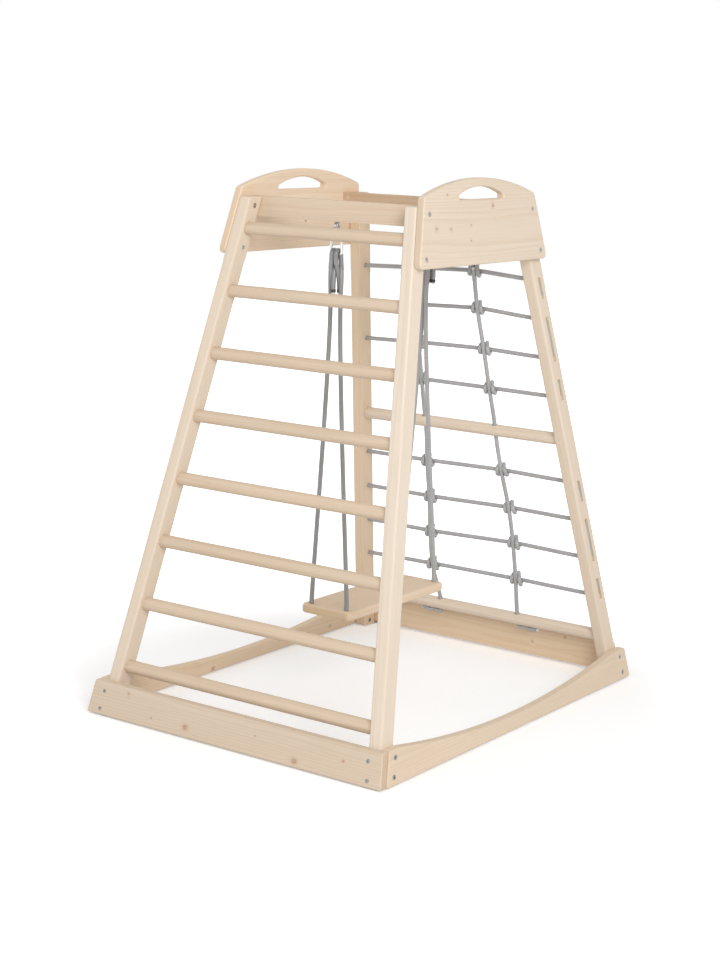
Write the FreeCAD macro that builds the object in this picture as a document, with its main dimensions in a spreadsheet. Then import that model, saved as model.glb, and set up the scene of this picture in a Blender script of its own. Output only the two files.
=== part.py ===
import FreeCAD, Part
import math
import os
from types import SimpleNamespace

Vector = FreeCAD.Vector

# Sizes in millimetres; heights are measured from the floor
SIZES = {
    # Frame: outer faces of the four leaning stiles, from the middle of the tower
    "foot_half_width": 361.5,
    "foot_half_depth": 494.6,
    "head_half_width": 226.9,
    "head_half_depth": 223,
    "stile_head_height": 1099,
    "stile_width": 30,
    "stile_depth": 44,
    "stile_edge_round": 5,
    # Round rungs
    "rung_diameter": 28,
    "ladder_rung_head_drop": 68,
    "ladder_rung_foot_height": 98.6,
    "net_middle_rung_height": 564.3,
    "net_bottom_rung_height": 100.3,
    "wood_behind_socket": 10,
    # Base boards and foot glides
    "glide_height": 3,
    "glide_diameter": 26,
    "glide_inset": 22,
    "board_thickness": 20,
    "board_height": 68,
    "board_edge_round": 3,
    "board_corner_round": 4,
    "front_board_step": 2,
    "rear_board_lift": 2.5,
    "rear_board_rise": 7,
    "rear_board_inset": 11,
    "side_board_tail": 8,
    "side_board_waist": 30.5,
    "side_board_shoulder_inset": 56.6,
    "side_board_shoulder_round": 220,
    # End panels with a grip hole
    "panel_thickness": 18,
    "panel_foot_drop": 123.5,
    "panel_crown_rise": 56,
    "panel_crown_radius": 680,
    "panel_corner_round": 12,
    "panel_edge_round": 4,
    "grip_width": 174,
    "grip_foot_drop": 44.5,
    "grip_rise": 26.5,
    "grip_crown_radius": 225,
    "grip_corner_round": 4.5,
    # Top rails inside the stiles
    "rail_thickness": 22,
    "rail_height": 43,
    # Connector bolts and sleeve nuts
    "bolt_head_diameter": 11,
    "bolt_head_height": 2.5,
    "bolt_diameter": 6,
    "bolt_end_cover": 3,
    "sleeve_diameter": 8.4,
    "sleeve_length": 18,
    "socket_width": 4,
    "socket_depth": 1.8,
    "panel_bolt_foot_rise": 19.5,
    "panel_bolt_head_drop": 14,
    "side_bolt_foot_rise": 16.5,
    "side_bolt_head_drop": 15,
    # Countersunk screws
    "screw_head_diameter": 9,
    "screw_head_height": 3,
    "screw_diameter": 4.4,
    "screw_bite": 15,
    "board_screw_foot_rise": 13,
    "board_screw_head_drop": 19,
    # Ropes
    "rope_diameter": 10,
    "rope_turn_radius": 10,
    "rope_hole_slack": 0.6,
    "rung_hole_slack": 1.2,
    "rope_touch": 0.3,
    "hitch_gap": 1.3,
    "net_head_drop": 48.2,
    "net_rope_end": 36,
    "net_tail_length": 58,
    "kink_reach": 4,
    "ease_reach": 12,
    # Swing
    "seat_head_height": 230,
    "seat_thickness": 20,
    "seat_length": 372,
    "seat_width": 130,
    "seat_corner_round": 14,
    "seat_edge_round": 6,
    "seat_hole_side_inset": 19,
    "seat_hole_end_inset": 16,
    "seat_groove_sink": 3,
    "swing_tail_length": 84,
    "band_length": 10,
    "band_wall": 0.6,
    "eye_radius": 8,
    "eye_wire": 5,
    "eye_collar_diameter": 12,
    "eye_collar_height": 2,
    "eye_shank_diameter": 6,
    "eye_bite": 24,
    "hook_wire": 6,
    "hook_reach": 55,
    "hook_corner_radius": 6,
    "gate_pin_rise": 17,
    "gate_span": 20,
    "gate_tang": 2,
    "gate_pin_diameter": 2,
    # Clearances and the overrun of every cut
    "fit_gap": 0.2,
    "swing_gap": 0.3,
    "cut_overrun": 5,
}

# Counts
LADDER_RUNG_COUNT = 8
NET_ROW_COUNT = 4

# Where the upright ropes cross the rows, as shares of the clear half width, from the top row down
left_crossing_shares = [0.349, 0.341, 0.354, 0.347, 0.354, 0.354, 0.372, 0.374]
right_crossing_shares = [0.394, 0.372, 0.388, 0.387, 0.393, 0.420, 0.411, 0.388]
# How far the net's rows keep from the rungs, as a share of the row pitch
net_margin_share = 1.115
# How far each crossing stands above its rope holes, as shares of the row pitch
left_lift_shares = [0.057, 0.068, 0.045, 0.040, 0.006, -0.017, -0.023, 0.023]
right_lift_shares = [0.113, 0.136, 0.068, 0.023, 0.050, 0.034, 0.057, 0.034]
# Where the upright ropes pass through the two net rungs
middle_rung_hole_share = 0.366
bottom_rung_hole_share = 0.338
# Rail screws up the height of a rail
rail_screw_shares = [0.25, 0.75]
# Largest difference between a rope's volume and its section times its length
volume_limit_share = 0.005

S = SimpleNamespace(**SIZES)
doc = FreeCAD.newDocument("ClimbingFrame")
sheet = doc.addObject("Spreadsheet::Sheet", "Sheet")
for row, (alias, value) in enumerate(SIZES.items(), 1):
    sheet.set(f"A{row}", alias)
    sheet.set(f"B{row}", str(value))
    sheet.setAlias(f"B{row}", alias)
doc.recompute()

NODES = []


def node(label, thing):
    """Name an object as a finished sub-part."""
    thing.Label = label
    NODES.append(thing)
    return thing


def bind(thing, **expressions):
    """Bind properties to expressions on the sheet."""
    for prop, text in expressions.items():
        thing.setExpression(prop, text)
    return thing


def made(kind, name, **expressions):
    return bind(doc.addObject(kind, name), **expressions)


def boolean(kind, name, base, tool):
    thing = doc.addObject(kind, name)
    thing.Base = base
    thing.Tool = tool
    return thing


def cut_by(name, base, tools):
    """The base less several tools."""
    cutter = doc.addObject("Part::Compound", name + "_cutter")
    cutter.Links = tools
    return boolean("Part::Cut", name, base, cutter)


def joined(name, pieces):
    thing = doc.addObject("Part::MultiFuse", name)
    thing.Shapes = pieces
    return thing


def grouped(name, pieces):
    thing = doc.addObject("Part::Compound", name)
    thing.Links = pieces
    return thing


def rounded(name, base, radius, wanted):
    """The base with the edges that are wanted rounded to one radius."""
    doc.recompute()
    thing = doc.addObject("Part::Fillet", name)
    thing.Base = base
    numbered = enumerate(base.Shape.Edges, 1)
    thing.Edges = [(number, radius, radius) for number, edge in numbered if wanted(edge)]
    return thing


def facing(point, direction):
    """A placement whose own Z axis points along a direction."""
    return FreeCAD.Placement(point, FreeCAD.Rotation(Vector(0, 0, 1), direction))


def copied(name, source, placement):
    thing = doc.addObject("Part::Feature", name)
    thing.Shape = source.Shape.copy()
    thing.Placement = placement
    return thing


# The lean of the four sides, as expressions and as numbers
WIDTH_LEAN = "((Sheet.foot_half_width - Sheet.head_half_width) / Sheet.stile_head_height)"
DEPTH_LEAN = "((Sheet.foot_half_depth - Sheet.head_half_depth) / Sheet.stile_head_height)"
lean_across = (S.foot_half_width - S.head_half_width) / S.stile_head_height
lean_along = (S.foot_half_depth - S.head_half_depth) / S.stile_head_height
tilt_along = math.hypot(1, lean_along)
SIDES = {"left": -1, "right": 1}
ENDS = {"ladder": -1, "net": 1}


def width_text(height):
    return f"(Sheet.foot_half_width - {WIDTH_LEAN} * ({height}))"


def depth_text(height):
    return f"(Sheet.foot_half_depth - {DEPTH_LEAN} * ({height}))"


def half_width(height):
    return S.foot_half_width - lean_across * height


def half_depth(height):
    return S.foot_half_depth - lean_along * height


def mirrored(side, near, far):
    """Two bounds given for the positive side, as low and high for either side."""
    return (near, far) if side > 0 else (f"-({far})", f"-({near})")


def leaning_block(name, foot, head, across, along):
    """A block with a level foot and head whose four sides lean."""
    low_x, high_x = across(foot)
    low_y, high_y = along(foot)
    head_low_x, head_high_x = across(head)
    head_low_y, head_high_y = along(head)
    block = made("Part::Wedge", name, Ymin=foot, Ymax=head, Xmin=low_x, Xmax=high_x)
    bind(block, Zmin=f"-({high_y})", Zmax=f"-({low_y})", X2min=head_low_x, X2max=head_high_x)
    bind(block, Z2min=f"-({head_high_y})", Z2max=f"-({head_low_y})")
    block.Placement = FreeCAD.Placement(Vector(), FreeCAD.Rotation(Vector(1, 0, 0), 90))
    return block


def bar_across(name, height_text, radius_text, y, z):
    """A cylinder along X, centred on the middle plane."""
    bar = made("Part::Cylinder", name, Height=height_text, Radius=radius_text)
    doc.recompute()
    lying = FreeCAD.Rotation(Vector(0, 0, 1), Vector(1, 0, 0))
    seam_level = FreeCAD.Rotation(Vector(0, 0, 1), 90)
    bar.Placement = FreeCAD.Placement(Vector(-bar.Height.Value / 2, y, z), lying * seam_level)
    return bar


def on_width_face(edge, offset):
    """Whether an edge lies on a leaning face that stands off the stiles' outer faces by an offset."""
    points = [vertex.Point for vertex in edge.Vertexes]
    points.append(edge.valueAt((edge.FirstParameter + edge.LastParameter) / 2))
    plane = S.foot_half_width + offset
    return all(abs(abs(p.x) + lean_across * p.z - plane) < S.fit_gap / 2 for p in points)


def on_depth_face(edge, offset):
    """The same for the front and rear faces."""
    points = [vertex.Point for vertex in edge.Vertexes]
    points.append(edge.valueAt((edge.FirstParameter + edge.LastParameter) / 2))
    plane = S.foot_half_depth + offset
    return all(abs(abs(p.y) + lean_along * p.z - plane) < S.fit_gap / 2 for p in points)


def runs_across(edge):
    """Whether an edge runs along X."""
    return edge.BoundBox.YLength < S.fit_gap and edge.BoundBox.ZLength < S.fit_gap


def runs_along(edge):
    """Whether an edge runs along Y."""
    return edge.BoundBox.XLength < S.fit_gap and edge.BoundBox.ZLength < S.fit_gap


# Heights that follow from the sizes
STILE_HEAD = "Sheet.stile_head_height"
RAIL_FOOT = "(Sheet.stile_head_height - Sheet.rail_height)"
BOARD_HEAD = "(Sheet.glide_height + Sheet.board_height)"
REAR_BOARD_FOOT = "(Sheet.glide_height + Sheet.rear_board_lift)"
REAR_BOARD_HEAD = "(Sheet.glide_height + Sheet.board_height + Sheet.rear_board_rise)"
rail_foot = S.stile_head_height - S.rail_height
board_head = S.glide_height + S.board_height
panel_foot = S.stile_head_height - S.panel_foot_drop
panel_crown = S.stile_head_height + S.panel_crown_rise
grip_foot = panel_crown - S.grip_foot_drop
ladder_rung_head = S.stile_head_height - S.ladder_rung_head_drop
ladder_rung_pitch = (ladder_rung_head - S.ladder_rung_foot_height) / (LADDER_RUNG_COUNT - 1)
lower_net_height = S.net_middle_rung_height - S.net_bottom_rung_height
upper_net_height = panel_foot - S.net_head_drop - S.net_middle_rung_height
lower_row_pitch = lower_net_height / (NET_ROW_COUNT - 1 + 2 * net_margin_share)
upper_row_pitch = upper_net_height / (NET_ROW_COUNT - 1 + net_margin_share)


def rung_y(height, end):
    """The middle of the stile depth at a height."""
    return end * (half_depth(height) - S.stile_depth / 2)


# Rope paths: straight runs joined by tangent arcs
def rope_wire(corners):
    """Each corner is a point and the length of run that its arc takes up on both sides."""
    edges = []
    radii = []
    start = corners[0][0]
    for (before, _), (corner, reach), (after, _) in zip(corners, corners[1:], corners[2:]):
        into = (corner - before).normalize()
        out = (after - corner).normalize()
        half_turn = into.getAngle(out) / 2
        radius = reach / math.tan(half_turn)
        inward = (out - into).normalize()
        first = corner - into * reach
        last = corner + out * reach
        middle = corner + inward * (radius / math.cos(half_turn) - radius)
        if start.distanceToPoint(first) > S.fit_gap / 2:
            edges.append(Part.LineSegment(start, first).toShape())
        edges.append(Part.Arc(first, middle, last).toShape())
        radii.append(radius)
        start = last
    edges.append(Part.LineSegment(start, corners[-1][0]).toShape())
    return Part.Wire(edges), radii


def rope_tube(name, corners, radius):
    """A round tube along a rope path."""
    path, radii = rope_wire(corners)
    start = corners[0][0]
    ring = Part.Wire(Part.makeCircle(radius, start, corners[1][0] - start))
    tube = path.makePipeShell([ring], True, False)
    share = tube.Volume / (math.pi * radius ** 2 * path.Length)
    print(f"{name}: length {path.Length:.1f}, smallest radius {min(radii):.1f}, volume share {share:.4f}")
    if abs(share - 1) > volume_limit_share:
        raise RuntimeError(f"{name} does not fill its section along its length")
    thing = doc.addObject("Part::Feature", name)
    thing.Shape = tube
    return thing


rope_radius = S.rope_diameter / 2
channel_radius = rope_radius + S.rope_hole_slack


def net_point(x, z, inward=0):
    """A point of the net plane, or one that stands inward of it along its normal."""
    y = rung_y(z, ENDS["net"])
    return Vector(x, y - inward / tilt_along, z - inward * lean_along / tilt_along)


def net_row_pitch(row):
    return upper_row_pitch if row < NET_ROW_COUNT else lower_row_pitch


def net_row_height(row):
    """The height of a row's rope holes, counted from the top row down."""
    rung_below = S.net_middle_rung_height if row < NET_ROW_COUNT else S.net_bottom_rung_height
    rows_below = NET_ROW_COUNT - 1 - row % NET_ROW_COUNT
    return rung_below + (net_margin_share + rows_below) * net_row_pitch(row)


def crossing(row, side):
    """Where an upright rope crosses a row."""
    shares = right_crossing_shares if side > 0 else left_crossing_shares
    lifts = right_lift_shares if side > 0 else left_lift_shares
    height = net_row_height(row)
    reach = shares[row] * (half_width(height) - S.stile_width)
    return side * reach, height + lifts[row] * net_row_pitch(row)


def slot_x(height, side):
    """The middle of a rope that lies sunk in the outer face of a net stile."""
    return side * (half_width(height) - channel_radius)


def row_mouth(row, side):
    """Just inside the tower from a row's rope hole."""
    height = net_row_height(row)
    return side * (half_width(height) - S.stile_width - 2 * S.kink_reach)


def row_corners(first_row):
    """The route of a net rope: four rows, joined in slots in the stiles' outer faces."""
    corners = []
    last_row = first_row + NET_ROW_COUNT - 1
    for row in range(first_row, last_row + 1):
        height = net_row_height(row)
        start_side = 1 if (row - first_row) % 2 == 0 else -1
        if row == first_row:
            end_height = height - S.net_rope_end
            corners.append((net_point(slot_x(end_height, start_side), end_height), 0))
        for side in (start_side, -start_side):
            turn = (net_point(slot_x(height, side), height), S.rope_turn_radius)
            mouth = (net_point(row_mouth(row, side), height), S.kink_reach)
            knot = (net_point(*crossing(row, side)), S.kink_reach)
            corners.extend([turn, mouth, knot] if side == start_side else [knot, mouth, turn])
        if row == last_row:
            end_height = height + S.net_rope_end
            corners.append((net_point(slot_x(end_height, -start_side), end_height), 0))
    return corners


net_channels = []
for name, first_row in {"upper_net_rope": 0, "lower_net_rope": NET_ROW_COUNT}.items():
    corners = row_corners(first_row)
    node(name, rope_tube(name, corners, rope_radius))
    net_channels.append(rope_tube(name + "_channel", corners, channel_radius))


def slot_cut(name, side, low, high):
    """A groove in the outer face of a net stile between two heights of the rope."""
    z_low = low - channel_radius
    z_high = high + channel_radius
    corners = []
    for z, across in ((z_low, -1), (z_high, -1), (z_high, 1), (z_low, 1)):
        y = rung_y(z, ENDS["net"]) + across * channel_radius
        corners.append(Vector(slot_x(z, side), y, z))
    thing = doc.addObject("Part::Feature", name)
    face = Part.Face(Part.makePolygon(corners + corners[:1]))
    thing.Shape = face.extrude(Vector(side * (channel_radius + S.cut_overrun), 0, 0))
    return thing


slot_cuts = {-1: [], 1: []}
for first_row in (0, NET_ROW_COUNT):
    heights = [net_row_height(first_row + step) for step in range(NET_ROW_COUNT)]
    spans = [(1, heights[0] - S.net_rope_end, heights[0]), (-1, heights[1], heights[0])]
    spans += [(1, heights[2], heights[1]), (-1, heights[3], heights[2])]
    spans.append((1, heights[3], heights[3] + S.net_rope_end))
    for number, (side, low, high) in enumerate(spans):
        slot_cuts[side].append(slot_cut(f"slot_{first_row}_{number}", side, low, high))

# Connector bolts: master pieces with their outer end at the origin and pointing up
HEAD_RADIUS = "Sheet.bolt_head_diameter / 2"
SOCKET_RADIUS = "Sheet.socket_width / sqrt(3)"


def connector_masters(plate):
    """A bolt, its sleeve nut and the hole for both, through a plate and a stile."""
    name = plate.replace("Sheet.", "")
    total = f"(({plate} + Sheet.stile_width) / sqrt(1 + {WIDTH_LEAN} ^ 2))"
    head = made("Part::Cylinder", name + "_bolt_head", Radius=HEAD_RADIUS, Height="Sheet.bolt_head_height")
    bind(head, **{"Placement.Base.z": "-Sheet.bolt_head_height"})
    shank = made("Part::Cylinder", name + "_bolt_shank", Radius="Sheet.bolt_diameter / 2")
    bind(shank, Height=f"{total} - Sheet.bolt_end_cover - Sheet.bolt_head_height / 2")
    bind(shank, **{"Placement.Base.z": f"Sheet.bolt_end_cover - {total}"})
    socket = made("Part::Prism", name + "_bolt_socket", Circumradius=SOCKET_RADIUS)
    socket.Polygon = 6
    bind(socket, Height="Sheet.socket_depth + Sheet.cut_overrun")
    bind(socket, **{"Placement.Base.z": "-Sheet.socket_depth"})
    bolt = boolean("Part::Cut", name + "_bolt", joined(name + "_bolt_blank", [head, shank]), socket)
    flange = made("Part::Cylinder", name + "_nut_flange", Radius=HEAD_RADIUS, Height="Sheet.bolt_head_height")
    bind(flange, **{"Placement.Base.z": f"-{total}"})
    barrel = made("Part::Cylinder", name + "_nut_barrel", Radius="Sheet.sleeve_diameter / 2")
    bind(barrel, Height="Sheet.sleeve_length", **{"Placement.Base.z": f"-{total}"})
    bore = made("Part::Cylinder", name + "_nut_bore", Radius="Sheet.bolt_diameter / 2 + Sheet.fit_gap")
    bind(bore, Height="Sheet.sleeve_length + 2 * Sheet.cut_overrun")
    bind(bore, **{"Placement.Base.z": f"-{total} - Sheet.cut_overrun"})
    nut = boolean("Part::Cut", name + "_nut", joined(name + "_nut_blank", [flange, barrel]), bore)
    hole = made("Part::Cylinder", name + "_hole_bore", Radius="Sheet.sleeve_diameter / 2 + Sheet.fit_gap")
    bind(hole, Height=f"{total} + 2 * Sheet.cut_overrun")
    bind(hole, **{"Placement.Base.z": f"-{total} - Sheet.cut_overrun"})
    sink = made("Part::Cylinder", name + "_hole_sink", Radius=HEAD_RADIUS + " + Sheet.fit_gap")
    bind(sink, Height="Sheet.bolt_head_height + Sheet.cut_overrun")
    bind(sink, **{"Placement.Base.z": "-Sheet.bolt_head_height"})
    nut_sink = made("Part::Cylinder", name + "_hole_nut_sink", Radius=HEAD_RADIUS + " + Sheet.fit_gap")
    bind(nut_sink, Height="Sheet.bolt_head_height + Sheet.cut_overrun")
    bind(nut_sink, **{"Placement.Base.z": f"-{total} - Sheet.cut_overrun"})
    cutter = joined(name + "_hole", [hole, sink, nut_sink])
    doc.recompute()
    return bolt, nut, cutter


def screw_masters(plate, name):
    """A countersunk screw and its hole, through a plate and into a stile."""
    length = f"({plate} / sqrt(1 + {DEPTH_LEAN} ^ 2) + Sheet.screw_bite)"
    shapes = {}
    for kind, gap in {"screw": "", "screw_hole": " + Sheet.fit_gap"}.items():
        head = made("Part::Cone", f"{name}_{kind}_head", Height="Sheet.screw_head_height")
        bind(head, Radius1="Sheet.screw_diameter / 2" + gap, Radius2="Sheet.screw_head_diameter / 2" + gap)
        bind(head, **{"Placement.Base.z": "-Sheet.screw_head_height"})
        shank = made("Part::Cylinder", f"{name}_{kind}_shank", Radius="Sheet.screw_diameter / 2" + gap)
        bind(shank, Height=length + gap, **{"Placement.Base.z": f"-({length}{gap})"})
        shapes[kind] = [head, shank]
    mouth = made("Part::Cylinder", name + "_screw_mouth", Height="Sheet.cut_overrun")
    bind(mouth, Radius="Sheet.screw_head_diameter / 2 + Sheet.fit_gap")
    socket = made("Part::Prism", name + "_screw_socket", Circumradius=SOCKET_RADIUS)
    socket.Polygon = 6
    bind(socket, Height="Sheet.socket_depth + Sheet.cut_overrun")
    bind(socket, **{"Placement.Base.z": "-Sheet.socket_depth"})
    screw = boolean("Part::Cut", name + "_screw", joined(name + "_screw_blank", shapes["screw"]), socket)
    cutter = joined(name + "_screw_hole", shapes["screw_hole"] + [mouth])
    doc.recompute()
    return screw, cutter


def width_spot(height, end, side, offset):
    """On a leaning side face, at the middle of a stile's depth."""
    return Vector(side * (half_width(height) + offset), rung_y(height, end), height)


def depth_spot(height, end, side, offset):
    """On a leaning front or rear face, at the middle of a stile's width."""
    x = side * (half_width(height) - S.stile_width / 2)
    return Vector(x, end * (half_depth(height) + offset), height)


stile_tools = {(end, side): [] for end in ENDS for side in SIDES}
plate_tools = {}


def fit_connectors(plate_label, plate, thickness, heights):
    """Put bolts and sleeve nuts through a pair of plates into the stiles behind them."""
    bolt, nut, cutter = connector_masters(plate)
    for side_name, side in SIDES.items():
        outward = Vector(side, 0, lean_across)
        bolts = []
        nuts = []
        label = f"{side_name}_{plate_label}"
        plate_tools[label] = []
        for end_name, end in ENDS.items():
            for height in heights:
                place = facing(width_spot(height, end, side, thickness), outward)
                tag = f"{label}_{end_name}_{len(bolts)}"
                bolts.append(copied(tag + "_bolt", bolt, place))
                nuts.append(copied(tag + "_nut", nut, place))
                hole = copied(tag + "_hole", cutter, place)
                stile_tools[end_name, side_name].append(hole)
                plate_tools[label].append(hole)
        node(label + "_bolts", grouped(label + "_bolts", bolts))
        node(label + "_nuts", grouped(label + "_nuts", nuts))


def fit_screws(label, plate, heights, end_name, offset, facing_out):
    """Put screws through a board or rail into the two stiles behind it."""
    screw, cutter = screw_masters(plate, label)
    end = ENDS[end_name]
    outward = Vector(0, end, lean_along) * facing_out
    screws = []
    plate_tools[label] = []
    for side_name, side in SIDES.items():
        for height in heights:
            place = facing(depth_spot(height, end, side, offset), outward)
            tag = f"{label}_{side_name}_{len(screws)}"
            screws.append(copied(tag + "_screw", screw, place))
            hole = copied(tag + "_hole", cutter, place)
            stile_tools[end_name, side_name].append(hole)
            plate_tools[label].append(hole)
    node(label + "_screws", grouped(label + "_screws", screws))


panel_bolt_heights = [panel_foot + S.panel_bolt_foot_rise, S.stile_head_height - S.panel_bolt_head_drop]
side_bolt_heights = [S.glide_height + S.side_bolt_foot_rise, board_head - S.side_bolt_head_drop]
board_screw_heights = [S.glide_height + S.board_screw_foot_rise, board_head - S.board_screw_head_drop]
rear_screw_heights = [board_screw_heights[0] + S.rear_board_lift, board_screw_heights[1] + S.rear_board_rise]
rail_screw_heights = [rail_foot + share * S.rail_height for share in rail_screw_shares]
rail_offset = -S.stile_depth - S.rail_thickness
fit_connectors("end_panel", "Sheet.panel_thickness", S.panel_thickness, panel_bolt_heights)
fit_connectors("side_board", "Sheet.board_thickness", S.board_thickness, side_bolt_heights)
fit_screws("front_base_board", "Sheet.board_thickness", board_screw_heights, "ladder", S.board_thickness, 1)
fit_screws("rear_base_board", "Sheet.board_thickness", rear_screw_heights, "net", S.board_thickness, 1)
fit_screws("ladder_top_rail", "Sheet.rail_thickness", rail_screw_heights, "ladder", rail_offset, -1)
fit_screws("net_top_rail", "Sheet.rail_thickness", rail_screw_heights, "net", rail_offset, -1)


# Rungs and their sockets
def rung(label, z, end_name):
    """A round rung with both ends in blind sockets in a pair of stiles."""
    y = rung_y(z, ENDS[end_name])
    reach = f"2 * ({width_text(z)} - Sheet.wood_behind_socket"
    bar = bar_across(label, reach + " - Sheet.fit_gap)", "Sheet.rung_diameter / 2", y, z)
    socket = bar_across(label + "_socket", reach + ")", "Sheet.rung_diameter / 2 + Sheet.fit_gap", y, z)
    for side_name in SIDES:
        stile_tools[end_name, side_name].append(socket)
    return bar


for count in range(LADDER_RUNG_COUNT):
    label = f"ladder_rung_{count + 1}"
    node(label, rung(label, ladder_rung_head - count * ladder_rung_pitch, "ladder"))


def holed_rung(label, z, hole_share):
    """A net rung with two bores that the upright ropes pass through."""
    blank = rung(label + "_blank", z, "net")
    bores = []
    for side in SIDES.values():
        x = side * hole_share * (half_width(z) - S.stile_width)
        bore = made("Part::Cylinder", f"{label}_bore_{len(bores)}")
        bind(bore, Radius="Sheet.rope_diameter / 2 + Sheet.rung_hole_slack")
        bind(bore, Height="Sheet.rung_diameter + 2 * Sheet.cut_overrun")
        up = Vector(0, -lean_along, 1).normalize()
        reach = S.rung_diameter / 2 + S.cut_overrun
        bore.Placement = facing(Vector(x, rung_y(z, ENDS["net"]), z) - up * reach, up)
        bores.append(bore)
    return node(label, cut_by(label, blank, bores))


holed_rung("net_middle_rung", S.net_middle_rung_height, middle_rung_hole_share)
holed_rung("net_bottom_rung", S.net_bottom_rung_height, bottom_rung_hole_share)

# Stiles
for end_name, end in ENDS.items():
    for side_name, side in SIDES.items():
        label = f"{end_name}_stile_{side_name}"

        def across(z, side=side):
            return mirrored(side, f"{width_text(z)} - Sheet.stile_width", width_text(z))

        def along(z, end=end):
            return mirrored(end, f"{depth_text(z)} - Sheet.stile_depth", depth_text(z))

        blank = leaning_block(label + "_blank", "Sheet.glide_height", STILE_HEAD, across, along)
        soft = rounded(label + "_soft", blank, S.stile_edge_round,
                       lambda edge: edge.BoundBox.ZMax > S.glide_height + S.fit_gap)
        tools = list(stile_tools[end_name, side_name])
        if end_name == "net":
            tools += slot_cuts[side]
        stile = cut_by(label + "_bored", soft, tools)
        if end_name == "net":
            for number, channel in enumerate(net_channels):
                stile = boolean("Part::Cut", f"{label}_threaded_{number}", stile, channel)
        node(label, stile)

# Top rails
for end_name, end in ENDS.items():
    label = f"{end_name}_top_rail"

    def across(z):
        return f"-({width_text(z)} - Sheet.fit_gap)", f"{width_text(z)} - Sheet.fit_gap"

    def along(z, end=end):
        outer = f"{depth_text(z)} - Sheet.stile_depth"
        return mirrored(end, f"{outer} - Sheet.rail_thickness", outer)

    blank = leaning_block(label + "_blank", RAIL_FOOT, STILE_HEAD, across, along)
    soft = rounded(label + "_soft", blank, S.board_edge_round / 2,
                   lambda edge: on_depth_face(edge, rail_offset) and edge.BoundBox.XLength > S.rail_height)
    eye_bore = made("Part::Cylinder", label + "_eye_bore")
    bind(eye_bore, Radius="Sheet.eye_shank_diameter / 2 + Sheet.fit_gap")
    bind(eye_bore, Height="Sheet.eye_bite + Sheet.fit_gap + Sheet.cut_overrun")
    eye_y = end * (half_depth(rail_foot) - S.stile_depth - S.rail_thickness / 2)
    eye_bore.Placement = FreeCAD.Placement(Vector(0, eye_y, rail_foot - S.cut_overrun), FreeCAD.Rotation())
    node(label, cut_by(label, soft, plate_tools[label] + [eye_bore]))

# Front and rear base boards
front_board_reach = "Sheet.board_thickness - Sheet.front_board_step"
for label, end, reach, foot, head in (
        ("front_base_board", -1, front_board_reach, "Sheet.glide_height", BOARD_HEAD),
        ("rear_base_board", 1, "-Sheet.rear_board_inset", REAR_BOARD_FOOT, REAR_BOARD_HEAD)):

    def across(z, reach=reach):
        return f"-({width_text(z)} + {reach})", f"{width_text(z)} + {reach}"

    def along(z, end=end):
        return mirrored(end, depth_text(z), f"{depth_text(z)} + Sheet.board_thickness")

    blank = leaning_block(label + "_blank", foot, head, across, along)
    cornered = rounded(label + "_cornered", blank, S.board_corner_round, runs_along)
    soft = rounded(label + "_soft", cornered, S.board_edge_round,
                   lambda edge: on_depth_face(edge, S.board_thickness) or on_depth_face(edge, 0))
    node(label, cut_by(label, soft, plate_tools[label]))

# Side boards with a hollowed upper edge
hollow_half = S.foot_half_depth - S.side_board_shoulder_inset
hollow_drop = S.board_height - S.side_board_waist
hollow_radius = (hollow_half ** 2 + hollow_drop ** 2) / (2 * hollow_drop)
HOLLOW_HALF = "(Sheet.foot_half_depth - Sheet.side_board_shoulder_inset)"
HOLLOW_DROP = "(Sheet.board_height - Sheet.side_board_waist)"
HOLLOW_RADIUS = f"({HOLLOW_HALF} ^ 2 + {HOLLOW_DROP} ^ 2) / (2 * {HOLLOW_DROP})"


def on_shoulder(edge):
    """Whether an edge stands where the level ends of a side board meet its hollow."""
    return abs(abs(edge.CenterOfMass.y) - hollow_half) < S.fit_gap


FULL_WIDTH = "2 * (Sheet.foot_half_width + Sheet.board_thickness + Sheet.cut_overrun)"


def left_board_across(z):
    return mirrored(SIDES["left"], width_text(z), f"{width_text(z)} + Sheet.board_thickness")


def side_board_along(z):
    return f"-{depth_text(z)}", f"{depth_text(z)} + Sheet.side_board_tail"


plank = leaning_block("side_plank", "Sheet.glide_height", BOARD_HEAD, left_board_across, side_board_along)
waist = S.glide_height + S.side_board_waist
hollow = bar_across("side_hollow", FULL_WIDTH, HOLLOW_RADIUS, 0, waist + hollow_radius)
hollowed = boolean("Part::Cut", "side_hollowed", plank, hollow)
shouldered = rounded("side_shouldered", hollowed, S.side_board_shoulder_round,
                     lambda edge: runs_across(edge) and on_shoulder(edge))
cornered = rounded("side_cornered", shouldered, S.board_corner_round,
                   lambda edge: runs_across(edge) and abs(edge.CenterOfMass.y) > half_depth(board_head))
soft = rounded("side_soft", cornered, S.board_edge_round,
               lambda edge: on_width_face(edge, S.board_thickness) or on_width_face(edge, 0))
left_board = node("left_side_board", cut_by("left_side_board", soft, plate_tools["left_side_board"]))
right_board = doc.addObject("Part::Mirroring", "right_side_board")
right_board.Source = left_board
right_board.Normal = Vector(1, 0, 0)
node("right_side_board", right_board)

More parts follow.
